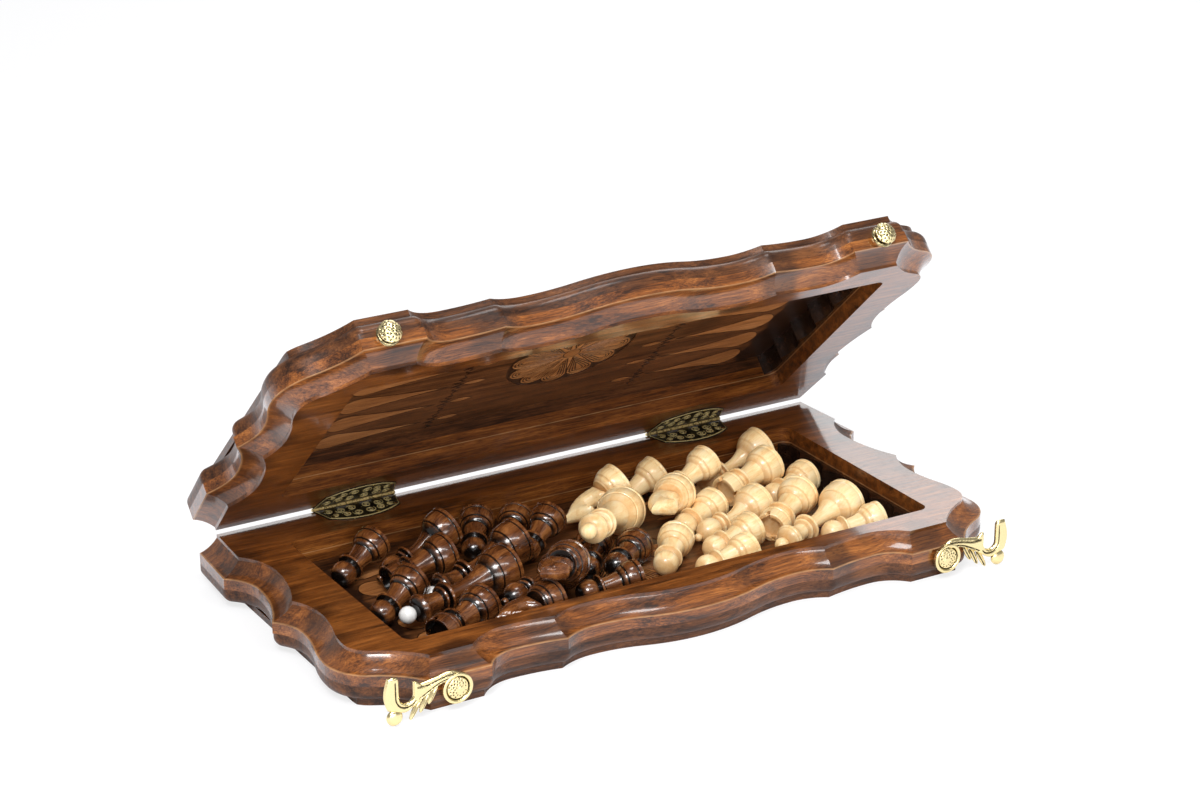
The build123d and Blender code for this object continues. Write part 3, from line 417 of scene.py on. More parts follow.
def hinge_brass(half):
    """A dark cast leaf with rubbed, bright knuckles round the pin."""
    shader = Shader(half + "_hinge_brass")
    place = half_place(shader, half)
    apart = shader.axes(place)
    level = shader.node("CombineXYZ", {"X": 0.0, "Y": apart["Y"], "Z": apart["Z"]}).outputs[0]
    pin = (0.0, PIN.y, PIN.z)
    away = shader.distance(level, pin)
    patina = shader.noise(place, 420, 4, 0.6)
    rubbed = shader.times(shader.smooth(away, 1.9 * MM, 1.5 * MM), shader.smooth(patina, 0.3, 0.55))
    spots = shader.times(shader.smooth(patina, 0.6, 0.72), 0.6)
    share = shader.more(rubbed, spots)
    shader.set(Base_Color=shader.mix(share, rgb(34, 27, 17), rgb(226, 198, 134)), Metallic=0.6, Roughness=0.3)
    shader.bump(patina, 0.0004, 0.5)
    return shader.material


WALNUT = [rgb(46, 23, 9), rgb(94, 51, 20), rgb(128, 73, 30), rgb(160, 99, 46)]
CORE = [rgb(36, 19, 10), rgb(72, 41, 21), rgb(96, 57, 30), rgb(122, 76, 42)]
FIELD = [rgb(44, 24, 11), rgb(84, 50, 26), rgb(110, 68, 37), rgb(136, 87, 50)]
SPIRE = [rgb(116, 70, 36), rgb(154, 98, 53), rgb(176, 117, 68), rgb(198, 138, 86)]
MEDALLION = [rgb(126, 77, 40), rgb(160, 103, 56), rgb(180, 119, 68), rgb(200, 137, 84)]
BURNT = [rgb(14, 8, 6), rgb(30, 18, 12), rgb(44, 27, 18), rgb(60, 38, 26)]
MAPLE = [rgb(160, 110, 62), rgb(186, 136, 84), rgb(206, 158, 104), rgb(222, 178, 124)]
EBONY = [rgb(20, 12, 9), rgb(34, 20, 14), rgb(46, 27, 18), rgb(60, 36, 24)]
BURN_BLACK = rgb(16, 9, 6)

# Each wooden piece's name for its finish, tones, figure, roughness, coat and marks
WOODS = {
    "rim_frame": ("rim", WALNUT, 1.0, 0.28, 1.0, rim_marks),
    "core_frame": ("core", CORE, 0.8, 0.4, 0.22, edge_burns),
    "chess_panel": ("panel", CORE, 1.0, 0.32, 0.5),
    "dark_squares": ("dark_veneer", EBONY, 1.2, 0.3, 0.5),
    "light_squares": ("light_veneer", MAPLE, 1.2, 0.3, 0.5),
    "border_inlay": ("border_veneer", MAPLE, 1.2, 0.3, 0.5),
    "field_board": ("field", FIELD, 0.9, 0.34, 0.3, field_burns),
    "spire_inlays": ("spires", SPIRE, 1.1, 0.34, 0.3),
    "well_strip_left": ("wells", BURNT, 1.0, 0.25, 0.6),
    "leaf_inlays": ("leaf_inlay", SPIRE, 1.1, 0.34, 0.3),
    "field_cuts": ("burnt_lines", [BURN_BLACK] * 3 + [BURNT[1]]),
}
finishes = {}
for half in HALVES:
    finishes[half] = {piece: wood(f"{half}_{name}", half, *look) for piece, (name, *look) in WOODS.items()}
    finishes[half]["well_strip_right"] = finishes[half]["well_strip_left"]
    finishes[half]["medallion"] = carved_wood(half + "_medallion", half, MEDALLION, BURN_BLACK)

PALE = [rgb(238, 194, 132), rgb(251, 219, 162), rgb(255, 234, 190)]
DARK = [rgb(50, 24, 10), rgb(100, 56, 26), rgb(146, 92, 48)]
# Each man's wood: tones, then the colour and share of the painted shade in its crevices, roughness and coat.
man_finishes = {
    "light": man_wood("pale_man", PALE, rgb(206, 152, 92), 0.55, 0.34, 0.35),
    "dark": man_wood("dark_man", DARK, rgb(12, 7, 5), 1.0, 0.24, 0.7),
}
white_finish = white_lacquer()
GOLD = rgb(240, 222, 168)
PATINA = rgb(46, 38, 26)
cast_brass = brass("cast_brass", GOLD, PATINA)
scroll_brass = brass("scroll_brass", rgb(250, 226, 160), PATINA, 0.1, 0.4)
leaf_brass = {half: hinge_brass(half) for half in HALVES}


def finish_of(name):
    """The material of a CAD node."""
    half, _, piece = name.partition("_")
    if piece in finishes.get(half, {}):
        return finishes[half][piece]
    if "finials" in name:
        return white_finish if half == "dark" else man_finishes["light"]
    if half in man_finishes:
        return man_finishes[half]
    return leaf_brass[half] if "hinge_leaf" in name else cast_brass


def clad_nodes():
    """Gives each CAD node that stays its finish."""
    for name, node in nodes.items():
        node.data.materials.clear()
        node.data.materials.append(finish_of(name))


# Camera, light and floor

FOCAL_PX = 2919.13
IMAGE_W_PX = 1200
AZIMUTH = math.radians(-29.86)
ELEVATION = math.radians(21.29)
ROLL = math.radians(-0.56)
AIM_RIGHT = 64.67 * MM
AIM_UP = 54.84 * MM
DISTANCE = 2479.9 * MM


def add_camera():
    """The photograph's camera, aimed from the middle of the hinge edge."""
    back = Vector((
        math.sin(AZIMUTH) * math.cos(ELEVATION),
        -math.cos(AZIMUTH) * math.cos(ELEVATION),
        math.sin(ELEVATION),
    ))
    level = Vector((math.cos(AZIMUTH), math.sin(AZIMUTH), 0))
    rise = back.cross(level)
    right = math.cos(ROLL) * level + math.sin(ROLL) * rise
    up = -math.sin(ROLL) * level + math.cos(ROLL) * rise
    data = bpy.data.cameras.new("camera")
    data.sensor_width = 36
    data.lens = FOCAL_PX / IMAGE_W_PX * data.sensor_width
    data.clip_end = 50
    camera = shown("camera", data)
    turn = Matrix((right, up, back)).transposed().to_4x4()
    place = Vector((0, HINGE_Y, FACE_Z)) + AIM_RIGHT * right + AIM_UP * up + DISTANCE * back
    camera.matrix_world = Matrix.Translation(place) @ turn
    bpy.context.scene.camera = camera


def add_lamp(name, place, aim, width, height, power):
    data = bpy.data.lights.new(name, "AREA")
    data.shape = "RECTANGLE"
    data.size = width
    data.size_y = height
    data.energy = power
    lamp = shown(name, data)
    lamp.location = place
    lamp.rotation_euler = (Vector(aim) - Vector(place)).to_track_quat("-Z", "Y").to_euler()


# How strong the white surroundings are as light, in reflections and to the camera
AMBIENT = 0.42
MIRRORED = 0.34
# The floor's own white against the light that falls on it, and the share of it that the camera sees
FLOOR_GLOW = 1.09
FLOOR_SHARE = 0.7
FLOOR_WHITE = (0.84, 0.84, 0.87, 1)
FLOOR_HALF = 6.0
# Name, place, aim, width, height and power of each lamp
LAMPS = [
    ("key", (-1.2, -1.5, 2.1), (0, 0, 0), 0.8, 0.8, 42),
    ("back", (1.3, 2.0, 1.2), (0, 0.1, 0.05), 1.8, 0.9, 12),
    ("top", (0.2, 0.1, 2.2), (0, 0, 0), 0.7, 0.7, 18),
    ("front", (-0.5, -1.9, 0.35), (0, 0, 0.15), 1.6, 0.5, 16),
    ("strip", (-0.3, -1.1, 1.5), (0, -0.1, 0.1), 2.2, 0.16, 13),
]


def add_world():
    """White to the camera, paler in reflections, and a soft grey as light."""
    world = bpy.data.worlds.new("studio")
    world.use_nodes = True
    tree = world.node_tree
    background = tree.nodes["Background"]
    path = tree.nodes.new("ShaderNodeLightPath")
    strengths = [AMBIENT]
    for ray, strength in (("Is Glossy Ray", MIRRORED), ("Is Camera Ray", 1.0)):
        mix = tree.nodes.new("ShaderNodeMix")
        tree.links.new(path.outputs[ray], mix.inputs["Factor"])
        if isinstance(strengths[-1], float):
            mix.inputs["A"].default_value = strengths[-1]
        else:
            tree.links.new(strengths[-1], mix.inputs["A"])
        mix.inputs["B"].default_value = strength
        strengths.append(mix.outputs["Result"])
    background.inputs["Color"].default_value = (1, 1, 1, 1)
    tree.links.new(strengths[-1], background.inputs["Strength"])
    bpy.context.scene.world = world


def add_floor():
    """A white table with the object's soft shadow on it."""
    mesh = bpy.data.meshes.new("floor")
    corners = [(FLOOR_HALF * x, FLOOR_HALF * y, 0) for x, y in ((-1, -1), (1, -1), (1, 1), (-1, 1))]
    mesh.from_pydata(corners, [], [(0, 1, 2, 3)])
    floor = shown("floor", mesh)
    shader = Shader("floor_white")
    shader.set(Base_Color=FLOOR_WHITE, Roughness=0.7, Specular_IOR_Level=0.1)
    glow = shader.node("Emission", {"Color": (1, 1, 1, 1), "Strength": FLOOR_GLOW})
    seen = shader.node("LightPath", {}).outputs["Is Camera Ray"]
    share = shader.times(seen, FLOOR_SHARE)
    lit = shader.node("MixShader", {0: share, 1: shader.surface.outputs[0], 2: glow.outputs[0]})
    shader.feed(shader.tree.nodes["Material Output"].inputs["Surface"], lit.outputs[0])
    mesh.materials.append(shader.material)


def add_stage():
    bpy.context.scene.view_settings.view_transform = "Standard"
    add_camera()
    add_world()
    add_floor()
    for lamp in LAMPS:
        add_lamp(*lamp)


# Chessmen: profiles from the foot to the top, in millimetres. One pair is the end of a straight,
# and two are an arc's middle and end. Each pair is (distance along the axis, radius)

FOOT_R = {"pawn": 15.0, "rook": 17.0, "knight": 17.5, "bishop": 17.5, "queen": 19.0, "king": 20.0}


def foot(radius, dome, shaft, cut):
    """Rim, groove, a convex dome and a smaller one above it. Cut is how deep the turned lines are."""
    shoulder = 5.0 + 0.62 * (dome - 5.0)
    shoulder_r = radius - 0.30 * (radius - shaft)
    steps = [[(0.0, radius - 0.7)], [(0.6, radius)], [(3.0, radius)], [(3.5, radius - 0.9 * cut)]]
    steps += [[(4.0, radius - cut)], [(4.6, radius - 0.5)]]
    steps += [[((4.6 + shoulder) / 2, (radius - 0.5 + shoulder_r) / 2 + 0.8), (shoulder, shoulder_r)]]
    steps += [[(shoulder + 0.25, shoulder_r - 0.8 * cut)], [(shoulder + 0.8, shoulder_r - 0.8)]]
    middle_z = (shoulder + 0.8 + dome) / 2
    steps += [[(middle_z, (shoulder_r - 0.8 + shaft) / 2 + 0.5), (dome, shaft)]]
    return steps


def ball(neck, radius, middle):
    low = middle - math.sqrt(radius**2 - neck**2)
    return [[(low, neck)], [(middle, radius), (middle + radius, 0.0)]]


def profile_of(kind, cut):
    radius = FOOT_R[kind]
    if kind == "pawn":
        shaft = [[(24.0, 8.4), (32.6, 7.5)], [(33.2, 8.6)], [(33.7, 11.0)], [(34.4, 11.6)]]
        shaft += [[(35.6, 11.4)], [(36.2, 9.0)]]
        return foot(radius, 18.0, 9.8, cut) + shaft + ball(7.4, 10.4, 44.6)
    if kind == "rook":
        shaft = [[(26.0, 9.6), (36.6, 8.8)], [(37.2, 12.4)], [(38.4, 13.0)], [(39.6, 12.8)], [(40.2, 10.2)]]
        crown = [[(41.0, 10.0)], [(44.0, 10.6), (47.0, 13.4)], [(48.2, 13.4)], [(48.7, 12.9)], [(49.4, 13.4)]]
        crown += [[(58.6, 13.4)], [(59.0, 13.0)], [(59.0, 10.2)], [(54.5, 10.2)], [(54.5, 0.0)]]
        return foot(radius, 19.5, 11.0, cut) + shaft + crown
    if kind == "knight":
        return foot(radius, 18.0, 12.6, cut) + [[(18.2, 12.9)], [(19.0, 12.2)], [(19.0, 0.0)]]
    if kind == "bishop":
        shaft = [[(28.0, 6.6), (44.6, 5.2)], [(45.2, 9.8)], [(46.4, 10.4)], [(47.4, 9.9)], [(48.4, 6.4)]]
        mitre = [[(49.2, 6.2)], [(50.0, 8.6)], [(50.8, 8.9)], [(51.6, 8.4)], [(52.6, 6.0)]]
        mitre += [[(60.5, 10.4), (73.0, 3.6)]]
        return foot(radius, 21.5, 9.6, cut) + shaft + mitre + ball(2.2, 3.4, 76.0)
    if kind == "queen":
        shaft = [[(33.0, 7.6), (56.6, 6.0)], [(57.3, 11.2)], [(58.6, 11.8)], [(59.8, 11.3)], [(60.8, 7.2)]]
        crown = [[(61.6, 7.0)], [(62.4, 9.4)], [(63.2, 9.8)], [(64.0, 9.4)], [(65.0, 6.8)]]
        crown += [[(73.0, 7.6), (82.0, 12.4)], [(83.4, 12.4)], [(84.0, 11.6)]]
        crown += [[(87.6, 9.0), (89.0, 3.0)], [(89.0, 0.0)]]
        return foot(radius, 24.0, 11.2, cut) + shaft + crown
    shaft = [[(36.0, 8.2), (62.6, 6.6)], [(63.3, 11.8)], [(64.8, 12.4)], [(66.0, 11.9)], [(67.0, 7.6)]]
    crown = [[(67.8, 7.4)], [(68.7, 10.0)], [(69.6, 10.4)], [(70.4, 10.0)], [(71.4, 7.2)]]
    crown += [[(80.0, 8.4), (90.0, 12.2)], [(91.0, 12.2)], [(91.8, 11.6)]]
    crown += [[(95.4, 8.6), (97.0, 3.2)], [(97.0, 0.0)]]
    return foot(radius, 25.5, 12.2, cut) + shaft + crown


def profile_line(steps):
    """The profile as points, with straights divided so that crevices can be given painted shade."""
    line = [(0.0, 0.0)]
    for step in steps:
        if len(step) == 2:
            line += arc_points(line[-1], *step)
            continue
        end = step[0]
        count = max(1, int(math.dist(line[-1], end) / 1.2))
        start = line[-1]
        for i in range(1, count + 1):
            line.append(tuple(a + (b - a) * i / count for a, b in zip(start, end)))
    return line


LINE_CUT = {"light": 0.7, "dark": 1.3}
CREVICE_REACH = 1.6
CREVICE_DEEP = 0.9
SEGMENTS = 72


def crevices(line):
    """How deep each point of a profile lies between its neighbours, from 0 to 1, which sets the men's painted
    shade.
    """
    points = np.array(line)
    deep = []
    for z, r in points:
        near = abs(points[:, 0] - z) < CREVICE_REACH
        deep.append(min(1.0, max(0.0, (points[near, 1].max() - r) / CREVICE_DEEP - 0.4)))
    return deep


def wall(low, high, count):
    """Faces between two rings of count points, from the numbers of their first points."""
    return [(low + k, low + (k + 1) % count, high + (k + 1) % count, high + k) for k in range(count)]


def lathe(steps, segments=SEGMENTS):
    """Points and faces of a turned body."""
    line = profile_line(steps)
    rings = [(z, r) for z, r in line if r > 1e-6]
    turns = [2 * math.pi * k / segments for k in range(segments)]
    verts = [(0.0, 0.0, line[0][0])]
    verts += [(*polar(r, t), z) for z, r in rings for t in turns]
    top = len(verts)
    verts.append((0.0, 0.0, line[-1][0]))
    last = top - segments
    faces = []
    for k in range(segments):
        after = (k + 1) % segments
        faces += [(0, 1 + after, 1 + k), (top, last + k, last + after)]
    for low in range(1, last, segments):
        faces += wall(low, low + segments, segments)
    return verts, faces


# The slots in a rook's rim, which spans these heights outside this radius
SLOTS = 4
SLOT_SHARE = 0.2
SLOT_DEPTH = 3.6
ROOK_RIM = (58.5, 60.0)
ROOK_RIM_R = 10.0


def notched(verts):
    """Cuts a rook's slots down into its rim."""
    low, high = ROOK_RIM
    cut = []
    for x, y, z in verts:
        turn = math.atan2(y, x) / (2 * math.pi) * SLOTS % 1.0
        if low < z < high and math.hypot(x, y) > ROOK_RIM_R and turn < SLOT_SHARE:
            z -= SLOT_DEPTH
        cut.append((x, y, z))
    return cut


def inside(points, loop):
    """Which points lie inside the loop."""
    within = np.zeros(len(points), bool)
    for (ax, ay), (bx, by) in zip(loop, loop[1:] + loop[:1]):
        if ay == by:
            continue
        crosses = (points[:, 1] < ay) != (points[:, 1] < by)
        at = ax + (points[:, 1] - ay) * (bx - ax) / (by - ay)
        within ^= crosses & (points[:, 0] < at)
    return within


def to_lines(points, lines):
    """Each point's distance to the nearest of some lines of points."""
    best = np.full(len(points), 1e9)
    for line in lines:
        for a, b in zip(line, line[1:]):
            a, b = np.array(a), np.array(b)
            along = b - a
            share = np.clip(((points - a) @ along) / max(along @ along, 1e-12), 0, 1)
            best = np.minimum(best, np.linalg.norm(points - a - share[:, None] * along, axis=1))
    return best


def plate(loop, spacing, top, bottom):
    """A plate of the outline loop: top and bottom give the heights from the points and edge distances."""
    edges = [(i, (i + 1) % len(loop)) for i in range(len(loop))]
    closed = [loop + loop[:1]]
    array = np.array(loop)
    low, high = array.min(0), array.max(0)
    xs = np.arange(low[0], high[0], spacing)
    ys = np.arange(low[1], high[1], spacing * 0.866)
    grid = np.array([(x + (j % 2) * spacing / 2, y) for j, y in enumerate(ys) for x in xs])
    grid = grid[inside(grid, loop)]
    grid = grid[to_lines(grid, closed) > 0.45 * spacing]
    flat = [Vector(p) for p in loop] + [Vector(p) for p in grid]
    verts, _, faces, *_ = geometry.delaunay_2d_cdt(flat, edges, [], 1, 1e-6)
    array = np.array([tuple(v) for v in verts])
    middles = np.array([array[list(f)].mean(0) for f in faces])
    faces = [f for f, real in zip(faces, inside(middles, loop)) if real]
    from_edge = to_lines(array, closed)
    tops, bottoms = top(array, from_edge), bottom(array, from_edge)
    count = len(array)
    solid = [(x, y, z) for heights in (tops, bottoms) for (x, y), z in zip(array, heights)]
    skin = [tuple(f) for f in faces] + [tuple(v + count for v in reversed(f)) for f in faces]
    sides = dict.fromkeys(pair for f in faces for pair in zip(f, (*f[1:], f[0])))
    skin += [(b, a, a + count, b + count) for a, b in sides if (b, a) not in sides]
    return solid, skin


def many(parts):
    """Several meshes as one."""
    verts, faces = [], []
    for points, skin in parts:
        first = len(verts)
        verts += points
        faces += [tuple(v + first for v in f) for f in skin]
    return verts, faces


def groove(points, lines, width, depth):
    """How far lines of V grooves reach down at each point."""
    return depth * ridge(to_lines(points, lines), width / 2)


HORSE_HALF_T = 7.5
HORSE_ROUND = 6.0


def horse_outline():
    """A horse's head in side view, nose toward +X."""
    back = [(-10.0, 18.6), (-12.2, 32.0), (-9.6, 46.0), (-3.0, 56.6)]
    ear = [(-1.2, 61.8), (1.6, 58.4)]
    face = [(3.2, 56.4), (8.8, 51.2), (13.6, 44.2), (15.2, 40.4)]
    mouth = [(13.6, 37.2), (9.4, 37.2), (5.4, 38.6), (2.2, 37.2)]
    chest = [(3.6, 31.0), (8.6, 25.6), (9.8, 18.6)]
    rounded = curve_through(back, step=6)[:-1] + [back[-1]] + ear
    rounded += curve_through(face + mouth, step=5)
    return rounded + curve_through(chest, step=6)


def horse_head():
    """Both sides carved: rounded, with an eye, a mouth and the cuts of the mane."""
    eye = (4.6, 50.2)
    turns = np.radians(range(0, 360, 45))
    rays = [[eye, (eye[0] + 3.0 * math.cos(t), eye[1] + 3.0 * math.sin(t))] for t in turns]
    mane = [[(-12.5 + 0.3 * i, 26.0 + 6.0 * i), (-6.0 + 0.7 * i, 24.6 + 6.2 * i)] for i in range(5)]
    mouth = [[(15.0, 40.6), (10.4, 41.4)]]

    def side(points, from_edge):
        height = HORSE_HALF_T * dome(ridge(from_edge, HORSE_ROUND))
        narrowed = 1 - 0.30 * np.clip((points[:, 1] - 40) / 20, 0, 1)
        cuts = groove(points, rays, 0.9, 0.7) + groove(points, mane, 1.2, 1.0)
        cuts += groove(points, mouth, 1.0, 0.9)
        return np.maximum(height * narrowed - cuts, 0.0)

    verts, faces = plate(horse_outline(), 0.9, side, lambda points, edge: -side(points, edge))
    return [(x, -z, y) for x, y, z in verts], faces


# Below this angle in degrees a man's surface is smooth, and within this distance it is a turned one
MAN_SMOOTH = 42
ON_PROFILE = 0.3 * MM


def man_mesh(kind, colour):
    """A man's mesh on its own axis, in metres, with its crevices marked for painted shade."""
    profile = profile_of(kind, LINE_CUT[colour])
    verts, faces = lathe(profile)
    if kind == "rook":
        verts = notched(verts)
    if kind == "knight":
        verts, faces = many([(verts, faces), horse_head()])
    mesh = smooth_mesh(f"{colour}_{kind}", verts, faces, MAN_SMOOTH)
    work = bmesh.new()
    work.from_mesh(mesh)
    bmesh.ops.remove_doubles(work, verts=work.verts, dist=1e-6)
    bmesh.ops.recalc_face_normals(work, faces=work.faces)
    layer = work.verts.layers.float.new("cavity")
    line = profile_line(profile)
    deep = crevices(line)
    heights = np.array([z for z, _ in line]) * MM
    radii = np.array([r for _, r in line]) * MM
    for v in work.verts:
        apart = (heights - v.co.z) ** 2 + (radii - math.hypot(v.co.x, v.co.y)) ** 2
        nearest = int(apart.argmin())
        v[layer] = deep[nearest] if apart[nearest] < ON_PROFILE**2 else 0.0
    work.to_mesh(mesh)
    work.free()
    mesh.materials.append(man_finishes[colour])
    return mesh


def solids_in(node):
    """The separate solids of a CAD node, each as points and triangles' normals, areas and middles."""
    work = bmesh.new()
    work.from_mesh(node.data)
    bmesh.ops.remove_doubles(work, verts=work.verts, dist=1e-6)
    work.verts.ensure_lookup_table()
    seen = set()
    solids = []
    for start in work.verts:
        if start.index in seen:
            continue
        seen.add(start.index)
        stack = [start]
        faces = set()
        while stack:
            vert = stack.pop()
            for face in vert.link_faces:
                if face in faces:
                    continue
                faces.add(face)
                for other in face.verts:
                    if other.index not in seen:
                        seen.add(other.index)
                        stack.append(other)
        if faces:
            normals = np.array([tuple(f.normal) for f in faces])
            areas = np.array([f.calc_area() for f in faces])
            middles = np.array([tuple(f.calc_center_median()) for f in faces])
            solids.append((normals, areas, middles))
    work.free()
    return solids


# Triangles lie in one flat where the product of their normals is above this
ONE_FLAT = 0.9999
LARGEST_TRIED = 400
HEAD_ABOVE = 30 * MM
NOSE_TRIANGLES = 12


def man_place(normals, areas, middles, kind):
    """A CAD man's axes: its foot is the widest flat, and a horse faces where it reaches furthest."""
    order = np.argsort(-areas)[:LARGEST_TRIED]
    _, best = max((areas[(normals @ normals[i]) > ONE_FLAT].sum(), i) for i in order)
    axis = -normals[best]
    flat = (normals @ normals[best]) > ONE_FLAT
    reach = middles[flat] @ axis
    low = reach < reach.min() + 0.2 * MM
    foot_at = (middles[flat][low] * areas[flat][low][:, None]).sum(0) / areas[flat][low].sum()
    x_way = np.cross(axis, (0.0, 0.0, 1.0))
    if kind == "knight":
        up_axis = (middles - foot_at) @ axis
        head = up_axis > HEAD_ABOVE
        off = (middles - foot_at) - np.outer(up_axis, axis)
        far = np.argsort(-np.linalg.norm(off, axis=1) * head)[:NOSE_TRIANGLES]
        x_way = off[far].mean(0)
    x_way = x_way / np.linalg.norm(x_way)
    y_way = np.cross(axis, x_way)
    return Matrix.Translation(Vector(foot_at)) @ Matrix(np.array([x_way, y_way, axis]).T.tolist()).to_4x4()


def add_men():
    """A turned and carved man in place of each CAD one."""
    for colour in man_finishes:
        for kind in FOOT_R:
            name = f"{colour}_{kind}" + ("" if kind in ("queen", "king") else "s")
            mesh = man_mesh(kind, colour)
            for number, solid in enumerate(solids_in(nodes[name]), 1):
                man = shown(f"{colour}_{kind}_{number}", mesh)
                man.matrix_world = man_place(*solid, kind)
                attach(man, "base")
                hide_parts(name)


# Carving and castings

def grid_disc(radius, ring_step, spokes, top):
    """A closed disc whose top gives heights and hollows, as a mesh and the depth of each point's hollow."""
    rings = int(radius / ring_step)
    radii = np.linspace(radius / rings, radius, rings)
    turns = np.arange(spokes) * 2 * math.pi / spokes
    flat = [(0.0, 0.0)] + [polar(r, t) for r in radii for t in turns]
    tops, depths = top(np.array(flat))
    verts = [(x, y, z) for (x, y), z in zip(flat, tops)]
    floor = len(verts)
    verts += [(x, y, 0.0) for x, y, _ in verts[floor - spokes:]]
    faces = [(0, 1 + (k + 1) % spokes, 1 + k) for k in range(spokes)]
    for low in range(1, floor, spokes):
        faces += wall(low, low + spokes, spokes)
    faces.append(tuple(range(floor, floor + spokes)))
    return (verts, faces), list(depths) + [0.0] * spokes


def ribbon(points, width, low, high, closed=False):
    """A flat strip along a line, from height low to high, thinning to its ends unless it is closed."""
    line = np.array(points)
    count = len(line)
    before = np.roll(line, 1, 0)
    after = np.roll(line, -1, 0)
    if not closed:
        before[0], after[-1] = line[0], line[-1]
    along = after - before
    along /= np.linalg.norm(along, axis=1)[:, None]
    side = np.column_stack([-along[:, 1], along[:, 0]])
    share = np.ones(count)
    if not closed:
        place = np.linspace(0, 1, count)
        share = np.clip(np.minimum(place, 1 - place) * 8, 0.25, 1)
    left = line + side * (width / 2 * share)[:, None]
    right = line - side * (width / 2 * share)[:, None]
    corners = ((left, high), (right, high), (right, low), (left, low))
    verts = [(x, y, z) for edge, z in corners for x, y in edge]
    faces = []
    for i in range(count if closed else count - 1):
        j = (i + 1) % count
        for k in range(4):
            m = (k + 1) % 4
            faces.append((k * count + i, m * count + i, m * count + j, k * count + j))
    if not closed:
        faces.append(tuple(k * count for k in (3, 2, 1, 0)))
        faces.append(tuple(k * count + count - 1 for k in range(4)))
    return verts, faces


# Medallion: twelve petals round a boss, each with narrower ones cut inside it, as (half width, start)
PETALS = 12
BOSS_R = 7.5
PETAL_WAIST = 43.0
PETAL_LINES = [(11.5, 9.6), (8.8, 14.0), (6.1, 19.0), (3.4, 25.0)]
CUT_W = 1.4
CUT_DEPTH = 0.75
# The ground round the petals: its slope's width, its start past the tips, how dark and how deep it is
GROUND_EDGE = 1.0
GROUND_FROM = 1.2
GROUND_SHADE = 0.75
GROUND_SUNK = 0.8
DISC_STEP = 0.62
DISC_SPOKES = 600


def petal_lines():
    """The cuts of a petal's upper half, along +X from the boss, as lines of points."""
    lines = []
    for half_width, start in PETAL_LINES:
        slant = half_width * 0.707
        wide = (PETAL_WAIST, half_width)
        tip = (PETAL_WAIST + half_width, 0.0)
        lines.append([(start, 0.0), wide, *arc_points(wide, (PETAL_WAIST + slant, slant), tip)])
    return lines


def medallion_top(points):
    """Heights and hollows of the medallion's carved face."""
    radius = np.linalg.norm(points, axis=1)
    sector = 2 * math.pi / PETALS
    turn = np.abs((np.arctan2(points[:, 1], points[:, 0]) + sector / 2) % sector - sector / 2)
    folded = np.column_stack([radius * np.cos(turn), radius * np.sin(turn)])
    cuts = np.maximum(groove(folded, petal_lines(), CUT_W, 1.0), ridge(abs(radius - BOSS_R), CUT_W / 2))
    widest = PETAL_LINES[0][0]
    lobe = np.hypot(folded[:, 0] - PETAL_WAIST, folded[:, 1])
    outside = (folded[:, 0] > PETAL_WAIST) & (lobe > widest)
    ground = np.where(outside, np.clip((lobe - widest) / GROUND_EDGE, 0, 1), 0.0)
    ground[radius > PETAL_WAIST + widest + GROUND_FROM] = 1.0
    height = (MEDALLION_HIGH.z - MEDALLION_LOW.z) / MM
    tops = height - CUT_DEPTH * np.maximum(cuts, ground * GROUND_SUNK)
    return tops, np.maximum(cuts, ground * GROUND_SHADE)


def add_medallions():
    """A carved disc in place of each half's medallion."""
    mesh, depths = grid_disc(MEDALLION_R / MM, DISC_STEP, DISC_SPOKES, medallion_top)
    for half, matrix in HALVES.items():
        seat = matrix @ Matrix.Translation((0, MIDDLE_Y, MEDALLION_LOW.z))
        finish = finishes[half]["medallion"]
        piece = relief_object(half + "_medallion_carving", mesh, depths, seat, half, finish, 50)
        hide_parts(half + "_medallion")


# The points' scorched outlines, and between them and the medallion a leaf and a barbed dart a row
SPIRE_TIP = 202.0
SPIRE_WIDE = 184.0
SPIRE_POINT = 106.0
SPIRE_HALF = 14.0
SPIRE_BELLY = SPIRE_HALF / 2 - 1.5
LEAF_ROOT = 93.0
LEAF_TIP = 72.6
LEAF_HALF = 3.6
DART_X = 97.6
SCORCH_W = 0.9
LEAF_SCORCH_W = 0.72
DART_W = 2.3
SCORCH_H = 0.12
LEAF_H = 0.072
DART_H = 0.18


def spire_loop():
    """The outline of a point on the +X side, with its row's middle at y = 0."""
    tip = (SPIRE_TIP, 0.0)
    up = (SPIRE_WIDE, SPIRE_HALF)
    down = (SPIRE_WIDE, -SPIRE_HALF)
    point = (SPIRE_POINT, 0.0)
    middle_x = (SPIRE_WIDE + SPIRE_POINT) / 2
    loop = arc_points(up, tip, down, 1.5) + arc_points(down, (middle_x, -SPIRE_BELLY), point, 2.0)
    return loop + arc_points(point, (middle_x, SPIRE_BELLY), up, 2.0)


def leaf_loop():
    """The outline of the leaf in line with that point."""
    root = (LEAF_ROOT, 0.0)
    tip = (LEAF_TIP, 0.0)
    middle_x = (LEAF_ROOT + LEAF_TIP) / 2
    upper = arc_points(root, (middle_x, LEAF_HALF), tip, 1.0)
    return upper + arc_points(tip, (middle_x, -LEAF_HALF), root, 1.0)


def dart_lines(pitch):
    """The black cuts of one row: two barbs, and a zigzag on to the rows beside it."""
    lines = []
    for side in (1, -1):
        lines.append([(DART_X - 4.0, 0.0), (DART_X + 1.5, side * 3.2), (DART_X + 6.0, side * 4.6)])
        lines.append([(DART_X + 3.0, side * 2.0), (DART_X - 3.5, side * 6.5), (DART_X + 2.5, side * 9.5)])
        lines.append([(DART_X + 2.5, side * 9.5), (DART_X - 3.0, side * 13.0), (DART_X, side * pitch / 2)])
    return lines


def leaf_slab():
    """The leaf as a thin plate."""
    loop = leaf_loop()
    count = len(loop)
    verts = [(x, y, z) for z in (LEAF_H, 0.0) for x, y in loop]
    return verts, [tuple(reversed(range(count))), tuple(range(count, 2 * count)), *wall(0, count, count)]


